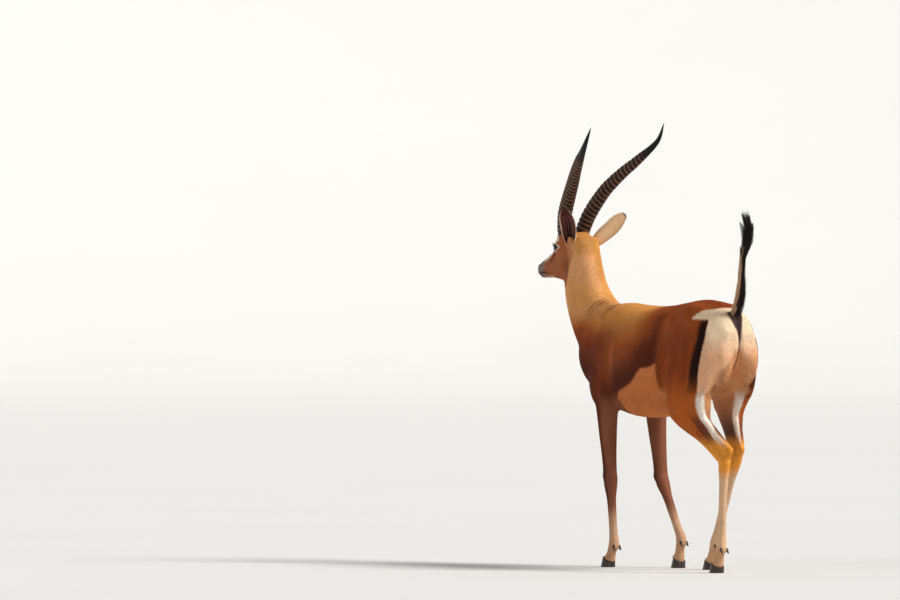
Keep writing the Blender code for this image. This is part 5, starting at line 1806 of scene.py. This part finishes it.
def tailHairs():
    # a black brush at the end, and hair that fans out from both sides of the dock
    rng = np.random.default_rng(tail["seed"])
    count = tail["tuftHairs"]
    start = tail["tuftStart"] + (len(tail["line"]) - 2.2 - tail["tuftStart"]) * rng.random(count) ** 0.8
    angle = rng.uniform(0, 2 * np.pi, count)
    centre, girth, ahead, out = roundDock(start, angle)
    later = unit(tailPoint(np.minimum(start + 2.0, 9))[0] - tailPoint(np.minimum(start + 1.2, 8.4))[0])
    splay = rng.uniform(0.10, 0.40, count)[:, None]
    length = rng.uniform(0.060, 0.100, count) * np.interp(start, (4.6, 5.6, 8.0), (0.65, 1.0, 0.62))
    way = unit(ahead + out * splay)
    curl = length[:, None] * (0.42 * (later - ahead) - 0.14 * splay * out)
    root = centre + out * (girth * 0.6)[:, None]
    # each hair leans to the tip of the lock that it belongs to
    ends = root + way * length[:, None] + curl
    leaders = rng.choice(count, tail["locks"], replace=False)
    apart = np.linalg.norm(ends[:, None, :] - ends[None, leaders, :], axis=2)
    curl = curl + 0.72 * (ends[leaders][apart.argmin(1)] - ends) + rng.normal(0, 0.0012, (count, 3))
    tuft = {
        "root": root, "way": way, "long": length,
        "thick": rng.uniform(0.0004, 0.00075, count), "curl": curl,
        "colour": toLinear(tones["tailDark"]) * rng.uniform(0.5, 1.2, count)[:, None],
        "flat": np.stack([0.665 + 0.15 * rng.random(count), 0.86 + 0.02 * angle / 6.3], 1),
    }
    count = tail["fringeHairs"]
    start = rng.uniform(0.9, 5.6, count)
    side = rng.choice((-1.0, 1.0), count)
    angle = np.pi / 2 - side * (np.pi / 2) + rng.normal(0, 0.45, count)
    centre, girth, ahead, out = roundDock(start, angle)
    length = rng.uniform(0.024, 0.046, count) * np.interp(start, (0.9, 2.0, 5.6), (0.7, 1.0, 0.8))
    back = ease(out[:, 1] - 0.50 * out[:, 0], 0.10, 0.55)
    colour = mix(toLinear(tones["tailPale"]), toLinear(tones["tailDark"]), back)
    colour = mix(colour, toLinear(tones["rump"]), ease(out[:, 1], 0.0, -0.4) * ease(start, 3.4, 2.0))
    fringe = {
        "root": centre + out * (girth * 0.66)[:, None], "way": unit(ahead + 0.26 * out), "long": length,
        "thick": rng.uniform(0.00035, 0.0006, count), "curl": -0.10 * length[:, None] * out,
        "colour": colour * rng.uniform(0.8, 1.15, count)[:, None],
        "flat": np.stack([0.665 + 0.15 * start / 9, 0.83 + 0.02 * (angle + 4) / 8], 1),
    }
    return tuft, fringe


def earHairs(word):
    rng = np.random.default_rng(31 if word == "left" else 32)
    way, opening, across = earAxes(word)[1:]
    count = ear["hairs"]
    row = rng.integers(0, len(ear["hairRows"]), count)
    a = np.array(ear["hairRows"])[row] + rng.normal(0, 0.05, count)
    t = rng.uniform(0.10, 0.72, count)
    root = earPoint(word, t, a)
    low, radius = earRow(word, t)[:2]
    inward = unit(low + radius[:, None] * opening - root)
    direction = unit(way + inward * rng.uniform(0.12, 0.35, count)[:, None] + across * (a * -0.25)[:, None])
    length = rng.uniform(0.016, 0.034, count) * np.interp(t, (0.1, 0.7), (1.1, 0.6))
    tint = rng.uniform(0.75, 1.05, count)[:, None]
    hairs = {
        "root": root + inward * 0.0017, "way": direction, "long": length,
        "thick": rng.uniform(0.00022, 0.00038, count),
        "curl": -0.18 * length[:, None] * inward, "colour": toLinear(earTones["hair"]) * tint,
        "flat": np.stack([0.665 + 0.15 * t, 0.91 + 0.08 * (a + 1) / 2], 1),
    }
    # short hairs along both rims
    count = ear["rimHairs"]
    edge = rng.choice((-1.0, 1.0), count)
    t = rng.uniform(0.16, 0.985, count)
    root = earPoint(word, t, edge * rng.uniform(0.95, 0.995, count))
    sideways = unit(root - earRow(word, t)[0])
    sideways = unit(sideways - opening * (sideways @ opening)[:, None] * 0.5)
    direction = unit(way + sideways * rng.uniform(0.15, 0.5, count)[:, None])
    length = rng.uniform(0.004, 0.008, count)
    colour = mix(toLinear(earTones["rim"]), toLinear(earTones["edge"]), ease(t, 0.80, 0.93))
    rim = {
        "root": root, "way": direction, "long": length, "thick": rng.uniform(0.0002, 0.00035, count),
        "curl": 0.1 * length[:, None] * opening, "colour": colour,
        "flat": np.stack([0.665 + 0.15 * t, 0.90 + 0.008 * (edge + 1) / 2], 1),
    }
    return {key: np.concatenate([hairs[key], rim[key]]) for key in hairs}


def rimPoints(side, angles):
    # points on the lid's edge round the opening of an eye
    x = eye["openWide"] * 1.03 * np.cos(angles)
    y = openHeight(x) * 1.03 * np.sin(angles)
    reach = eye["radius"] + eye["lidThickness"] * 0.8
    z = np.sqrt(np.maximum(0, reach**2 - x**2 - y**2))
    return carried(np.stack([x, y, z], 1), eyeFrame(side))


lashes = {
    # upper and lower lid: number, from and to in degrees, shortest and longest, thickness, fan, curl
    "rows": (
        (110, (18, 162), (0.006, 0.0105), 0.00017, (0.75, 0.25, 0.75), 0.35),
        (40, (205, 335), (0.004, 0.007), 0.00014, (0.5, 0.6, 0.7), -0.2),
    ),
    "whiskers": 12,  # on each side
    "seed": 41,
}


def lashHairs():
    # lashes on the upper lid and a few on the lower, and whiskers on the lips and chin
    rng = np.random.default_rng(lashes["seed"])
    rows = {key: [] for key in ("root", "way", "long", "thick", "curl", "colour", "flat")}

    def put(root, way, long, thick, curl):
        count = len(root)
        rows["root"].append(root)
        rows["way"].append(unit(way))
        rows["long"].append(long)
        rows["thick"].append(np.full(count, thick))
        rows["curl"].append(curl)
        rows["colour"].append(np.tile(toLinear(tones["lids"]), (count, 1)))
        rows["flat"].append(np.stack([0.70 + 0.1 * rng.random(count), 0.05 + 0.02 * rng.random(count)], 1))

    for side in (1, -1):
        turn = np.array(eyeFrame(side))[:3, :3].T
        for count, turns, lengths, thick, (across, high, ahead), curl in lashes["rows"]:
            angles = np.radians(rng.uniform(*turns, count))
            way = np.stack([across * np.cos(angles), high * np.sin(angles), np.full(count, ahead)], 1) @ turn
            up = np.array((0.0, 1.0, -0.1)) @ turn
            length = rng.uniform(*lengths, count)
            put(rimPoints(side, angles), way, length, thick, length[:, None] * curl * up)
        count = lashes["whiskers"]
        forward = rng.uniform(0.236, 0.266, count)
        up = rng.uniform(-0.052, -0.034, count)
        root = np.array([inHead(f, side * 0.0225, h) for f, h in zip(forward, up)])
        outward, ahead, rise = (rng.uniform(*ends, count) for ends in ((0.6, 0.9), (0.3, 0.9), (-0.5, 0.0)))
        way = np.stack([side * outward, -ahead, rise], 1) @ np.array(tiltedHead.to_3x3()).T
        length = rng.uniform(0.009, 0.018, count)
        put(root, way, length, 0.00012, length[:, None] * np.array((0, 0, -0.15)))
    return {key: np.concatenate(value) for key, value in rows.items()}


# Finishes

def readAttribute(tree, name, output="Fac"):
    return putNode(tree, "ShaderNodeAttribute", {"attribute_name": name}).outputs[output]


def objectPlace(tree):
    return putNode(tree, "ShaderNodeTexCoord").outputs["Object"]


def mottleGroup():
    # the markings' colour with broad and fine unevenness, as a coat of single hairs has
    tree = bpy.data.node_groups.new("HairMottle", "ShaderNodeTree")
    for label, value in (("Broad", 0.10), ("Fine", 0.16)):
        tree.interface.new_socket(label, in_out="INPUT", socket_type="NodeSocketFloat").default_value = value
    tree.interface.new_socket("Colour", in_out="OUTPUT", socket_type="NodeSocketColor")
    start, end = tree.nodes.new("NodeGroupInput"), tree.nodes.new("NodeGroupOutput")
    place = objectPlace(tree)
    value = 1.0
    for label, scale, detail, roughness in (("Broad", 11.0, 5.0, 0.62), ("Fine", 170.0, 3.0, 0.7)):
        centred = putMath(tree, "SUBTRACT", putNoise(tree, place, scale, detail, roughness), 0.5)
        scaled = putMath(tree, "MULTIPLY", centred, start.outputs[label])
        value = putMath(tree, "MULTIPLY_ADD", scaled, 2.0, value)
    marking = readAttribute(tree, "coatColour", "Color")
    whole = putNode(tree, "ShaderNodeVectorMath", {"operation": "SCALE"}, i0=marking, Scale=value)
    tree.links.new(whole.outputs[0], end.inputs["Colour"])
    return tree


def newFinish(name, roughness, **constants):
    material = bpy.data.materials.new(name)
    material.use_nodes = True
    shader = material.node_tree.nodes["Principled BSDF"]
    shader.inputs["Roughness"].default_value = roughness
    for key, value in constants.items():
        shader.inputs[key.replace("_", " ")].default_value = value
    return material, material.node_tree, shader


def addBump(tree, shader, height, strength, distance):
    bump = putNode(tree, "ShaderNodeBump", Height=height, Strength=strength, Distance=distance)
    tree.links.new(bump.outputs["Normal"], shader.inputs["Normal"])


def coatFinish(name, mottle, roughness, broad, fine, **constants):
    material, tree, shader = newFinish(name, roughness, **constants)
    group = putNode(tree, "ShaderNodeGroup", {"node_tree": mottle}, Broad=broad, Fine=fine)
    tree.links.new(group.outputs["Colour"], shader.inputs["Base Color"])
    return material, tree, shader


def skinFinish(mottle):
    # short hair lying on hide; smooth and damp in the nostrils, on the lips and lids
    material, tree, shader = coatFinish("hide", mottle, 0.7, 0.20, 0.22, Specular_IOR_Level=0.13)
    damp = readAttribute(tree, "damp")
    tree.links.new(putRange(tree, damp, To_Min=0.72, To_Max=0.26), shader.inputs["Roughness"])
    hair = putNoise(tree, readAttribute(tree, "strand", "Vector"), 1.0, 2.0, 0.6)
    pebble = putNode(tree, "ShaderNodeTexVoronoi", Vector=objectPlace(tree), Scale=620.0).outputs["Distance"]
    blend = putNode(tree, "ShaderNodeMix", Factor=damp, i2=hair, i3=pebble)
    addBump(tree, shader, blend.outputs[0], 0.7, 0.0009)
    return material


def earFinish(mottle):
    material, tree, shader = coatFinish("earHide", mottle, 0.72, 0.14, 0.20, Specular_IOR_Level=0.13)
    hair = putNoise(tree, readAttribute(tree, "strand", "Vector"), 1.0, 3.0, 0.6)
    addBump(tree, shader, hair, 0.6, 0.0007)
    return material


def ramp(tree, value, stops):
    node = putNode(tree, "ShaderNodeValToRGB", Fac=value)
    points = node.color_ramp.elements
    while len(points) < len(stops):
        points.new(0.5)
    for point, (place, tone) in zip(points, stops):
        point.position = place
        point.color = (*toLinear(tone), 1)
    return node.outputs["Color"]


def hornFinish():
    # near black in the grooves as painted shade, and dusty brown on the crests, partly wear and partly
    # painted highlight, with fine fibres along the horn
    coating = {"Coat_Weight": 0.03, "Coat_Roughness": 0.35}
    material, tree, shader = newFinish("keratin", 0.42, Specular_IOR_Level=0.20, **coating)
    grain = readAttribute(tree, "grain", "Vector")
    stretched = putNode(tree, "ShaderNodeMapping", Vector=grain, Scale=(0.9, 16.0, 16.0)).outputs[0]
    fibre = putNoise(tree, stretched, 1.6, 5.0, 0.65)
    stain = putNoise(tree, objectPlace(tree), 38.0, 4.0, 0.6)
    # crests lighter, as wear and as painted highlight; grooves darker, as painted shade
    crestWearAndHighlight = putMath(tree, "MULTIPLY_ADD", readAttribute(tree, "crest"), 0.66, -0.22)
    crestWearAndHighlight = putMath(tree, "MULTIPLY_ADD", fibre, 0.45, crestWearAndHighlight)
    crestWearAndHighlight = putMath(tree, "MULTIPLY_ADD", stain, 0.35, crestWearAndHighlight)
    stops = ((0.20, (9, 4, 3)), (0.45, (22, 10, 6)), (0.66, (60, 34, 21)), (0.85, (110, 76, 54)))
    tree.links.new(ramp(tree, crestWearAndHighlight, stops), shader.inputs["Base Color"])
    tree.links.new(putRange(tree, crestWearAndHighlight, To_Min=0.36, To_Max=0.58), shader.inputs["Roughness"])
    addBump(tree, shader, fibre, 0.8, 0.0009)
    return material


def hoofFinish():
    # growth rings and fibres down the wall, dusty near the sole
    material, tree, shader = newFinish("hoofHorn", 0.5, Specular_IOR_Level=0.45)
    share = readAttribute(tree, "share")
    place = objectPlace(tree)
    wide = putNode(tree, "ShaderNodeMapping", Vector=place, Scale=(260.0, 260.0, 22.0)).outputs[0]
    fibre = putNoise(tree, wide, 1.0, 3.0, 0.6)
    dust = putNoise(tree, place, 120.0, 4.0, 0.65)
    growth = putMath(tree, "SINE", putMath(tree, "MULTIPLY", share, hoof["rings"] * 2 * math.pi * 2))
    tone = putMath(tree, "MULTIPLY_ADD", growth, 0.05, 0.12)
    tone = putMath(tree, "MULTIPLY_ADD", fibre, 0.5, tone)
    low = putRange(tree, share, From_Max=0.35, To_Min=0.28, To_Max=0.0)
    dusty = putMath(tree, "MULTIPLY_ADD", dust, low, tone)
    stops = ((0.18, (20, 15, 14)), (0.42, (44, 33, 29)), (0.62, (84, 66, 54)), (0.80, (138, 114, 92)))
    tree.links.new(ramp(tree, dusty, stops), shader.inputs["Base Color"])
    addBump(tree, shader, fibre, 0.7, 0.0005)
    return material


def lengthOf(tree, x, y):
    # the length of a flat vector, and the vector itself
    flat = putNode(tree, "ShaderNodeCombineXYZ", X=x, Y=y).outputs[0]
    return putNode(tree, "ShaderNodeVectorMath", {"operation": "LENGTH"}, i0=flat).outputs["Value"], flat


def eyeFinish():
    # dark brown iris with a level oval pupil; a darker rim where the iris meets the ball
    coating = {"Coat_Weight": 0.35, "Coat_Roughness": 0.02}
    material, tree, shader = newFinish("eyeball", 0.12, Specular_IOR_Level=0.12, **coating)
    gaze = putNode(tree, "ShaderNodeSeparateXYZ", i0=readAttribute(tree, "gaze", "Vector")).outputs
    reach, radial = lengthOf(tree, gaze["X"], gaze["Y"])
    spokes = putNode(tree, "ShaderNodeVectorMath", {"operation": "NORMALIZE"}, i0=radial).outputs[0]
    tone = putMath(tree, "MULTIPLY_ADD", putNoise(tree, spokes, 14.0, 4.0, 0.7), 0.45, 0.18)
    iris = ramp(tree, tone, ((0.22, (16, 8, 5)), (0.46, (42, 22, 12)), (0.66, (78, 46, 26))))
    ring = putRange(tree, reach, From_Min=0.22, From_Max=0.66)
    rim = putRange(tree, ring, True, From_Min=0.78, From_Max=1.0)
    across, high = putMath(tree, "DIVIDE", gaze["X"], 0.33), putMath(tree, "DIVIDE", gaze["Y"], 0.17)
    pupil = putRange(tree, lengthOf(tree, across, high)[0], From_Min=1.06, From_Max=0.96)
    colour = iris
    for share, tone in ((rim, (22, 13, 9)), (pupil, (6, 6, 9))):
        links = {"Factor": share, "i6": colour, "i7": (*toLinear(tone), 1)}
        colour = putNode(tree, "ShaderNodeMix", {"data_type": "RGBA"}, **links).outputs[2]
    tree.links.new(colour, shader.inputs["Base Color"])
    return material


studio = {
    "floor": (222, 220, 216),
    "floorReach": 45.0,
    "coveReach": 60.0,
    "coveHeight": 15.0,
    "keyStrength": 3.6,
    "keyAngle": 20,
    "fillStrength": 0.36,
    "fillAngle": 12,
    "world": 0.37,
    "cameraDistance": 29.7,
    "cameraAside": -0.957,
    "cameraHeight": 1.0,
    "aimDown": 30 / 9000,  # how far the camera looks down, for 1 ahead
    "lens": 360,
}
lookDirection = Vector((-0.4695, -0.8829, 0))
cameraRight = Vector((-0.8829, 0.4695, 0))


def makeFloor():
    bm = bmesh.new()
    rings = []
    turns = np.linspace(0, 2 * math.pi, 97)[:-1]
    near, far = studio["floorReach"], studio["coveReach"]
    for t in np.linspace(0, 1, 40):
        reach = near + (far - near) * math.sin(t * math.pi / 2)
        height = studio["coveHeight"] * (1 - math.cos(t * math.pi / 2))
        rings.append([(reach * math.cos(a), reach * math.sin(a), height) for a in turns])
    rows = addTube(bm, rings, closed=False)
    bm.faces.new(rows[0])
    bm.normal_update()
    bmesh.ops.recalc_face_normals(bm, faces=bm.faces)
    if sum(face.normal.z for face in bm.faces) < 0:
        bmesh.ops.reverse_faces(bm, faces=bm.faces)
    floor = newObject("floor", bm)
    floor.data.shade_smooth()
    material, tree, shader = newFinish("paper", 0.9, Specular_IOR_Level=0.15)
    grain = putNoise(tree, objectPlace(tree), 0.6, 3.0)
    pale = tuple(value * 0.992 for value in studio["floor"])
    tree.links.new(ramp(tree, grain, ((0.3, pale), (0.7, studio["floor"]))), shader.inputs["Base Color"])
    floor.data.materials.append(material)


def makeLights():
    for name, aside, back, up in (("key", 0.75, 0.35, 0.7), ("fill", -0.8, 0.5, 0.6)):
        way = cameraRight * aside - lookDirection * back + Vector((0, 0, up))
        sun = bpy.data.lights.new(name, "SUN")
        sun.energy = studio[name + "Strength"]
        sun.angle = math.radians(studio[name + "Angle"])
        lamp = addObject(name, sun)
        lamp.rotation_euler = way.to_track_quat("Z", "Y").to_euler()
        lamp.location = way * 6
    world = bpy.data.worlds.new("air")
    world.use_nodes = True
    sky = world.node_tree.nodes["Background"]
    sky.inputs["Color"].default_value = (0.96, 0.98, 1.0, 1)
    sky.inputs["Strength"].default_value = studio["world"]
    bpy.context.scene.world = world
    bpy.context.scene.view_settings.view_transform = "Standard"


def makeCamera():
    lens = bpy.data.cameras.new("camera")
    lens.lens = studio["lens"]
    lens.sensor_width = 36
    lens.clip_start = 1
    lens.clip_end = 500
    camera = addObject("camera", lens)
    place = origin - lookDirection * studio["cameraDistance"] + cameraRight * studio["cameraAside"]
    place.z = studio["cameraHeight"]
    camera.location = place
    aim = Vector((lookDirection.x, lookDirection.y, -studio["aimDown"]))
    camera.rotation_euler = aim.to_track_quat("-Z", "Y").to_euler()
    bpy.context.scene.camera = camera


def paintSkin(skin):
    mesh = skin.data
    points, normals = pointsOf(mesh), normalsOf(mesh)
    share = regions(points)
    setColours(mesh, coatColours(points, normals) * 0.9)
    forward, left, up = headPlace(points)
    damp = nosePad(forward, np.abs(left), up)
    for sign in (1, -1):
        damp = np.maximum(damp, nostrilMask(forward, left * sign, up))
        damp = np.maximum(damp, ease(eyeDistance(points, sign), 0.0225, 0.0212))
    setAttribute(mesh, "damp", damp * share["head"])
    # stretched along the lie of the hair, so that the bump shows as strokes
    lie = lieOf(points, normals, share)
    stretch = 1 - 0.82 * np.abs(lie)
    setAttribute(mesh, "strand", points * 900 * stretch)


def finish(piece, material, slotName, *nodes):
    piece.data.materials.clear()
    piece.data.materials.append(material)
    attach(piece, "root")
    if nodes:
        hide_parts(*nodes)


def build():
    mottle = mottleGroup()
    keratin, hoofHorn, eyeball = hornFinish(), hoofFinish(), eyeFinish()
    earHide, hide = earFinish(mottle), skinFinish(mottle)
    coatHair = coatFinish("coatHair", mottle, 0.56, 0.24, 0.34, Specular_IOR_Level=0.10)[0]
    longHair = coatFinish("longHair", mottle, 0.42, 0.06, 0.22, Specular_IOR_Level=0.24)[0]
    skin = makeSkin()
    paintSkin(skin)
    flesh = ["torso", "neck", "head", "tail"]
    flesh += [f"{name}_{part}" for name in legs["joints"] for part in ("upper", "lower")]
    finish(skin, hide, "body_coat", *flesh)
    print("skin made")
    for piece, slotName in coatPieces(skin):
        finish(piece, coatHair, slotName)
    print("coat made")
    rings, bristles = hornRingTree(), bristleTree()
    for side, word in ((1, "left"), (-1, "right")):
        finish(makeHorn(side, rings, keratin), keratin, "horn_keratin", f"horn_{word}")
        finish(makeEar(word), earHide, "ear_hair", f"ear_{word}")
        finish(earTufts(word), coatHair, "ear_hair")
        inEar = makeBristles("earHair" + word.title(), bristles, longHair, earHairs(word), 3, 4)
        finish(inEar, longHair, "ear_hair")
        finish(makeEye(side), eyeball, "eye_surface", f"eye_{word}")
        for limb in ("hind", "fore"):
            ankle, sole = (at(*joint) for joint in legs["joints"][f"{limb}leg_{word}"][3:])
            finish(makeDewclaws(f"{limb}{word.title()}Dewclaws", ankle), hoofHorn, "hoof_horn")
            for place, part in ((1, "LeftClaw"), (-1, "RightClaw")):
                claw = makeClaw(f"{limb}{word.title()}{part}", sole, place)
                which = "outer" if place == side else "inner"
                finish(claw, hoofHorn, "hoof_horn", f"hoof_{limb}_{word}_{which}")
    print("horns, ears, eyes and hooves made")
    tuft, fringe = tailHairs()
    finish(makeBristles("tailTuft", bristles, longHair, tuft), longHair, "tail_hair", "tail")
    finish(makeBristles("tailFringe", bristles, longHair, fringe), longHair, "tail_hair")
    finish(makeBristles("lashes", bristles, longHair, lashHairs(), 3, 4), longHair, "face_coat")
    print("long hair made")
    makeFloor()
    makeLights()
    makeCamera()


build()
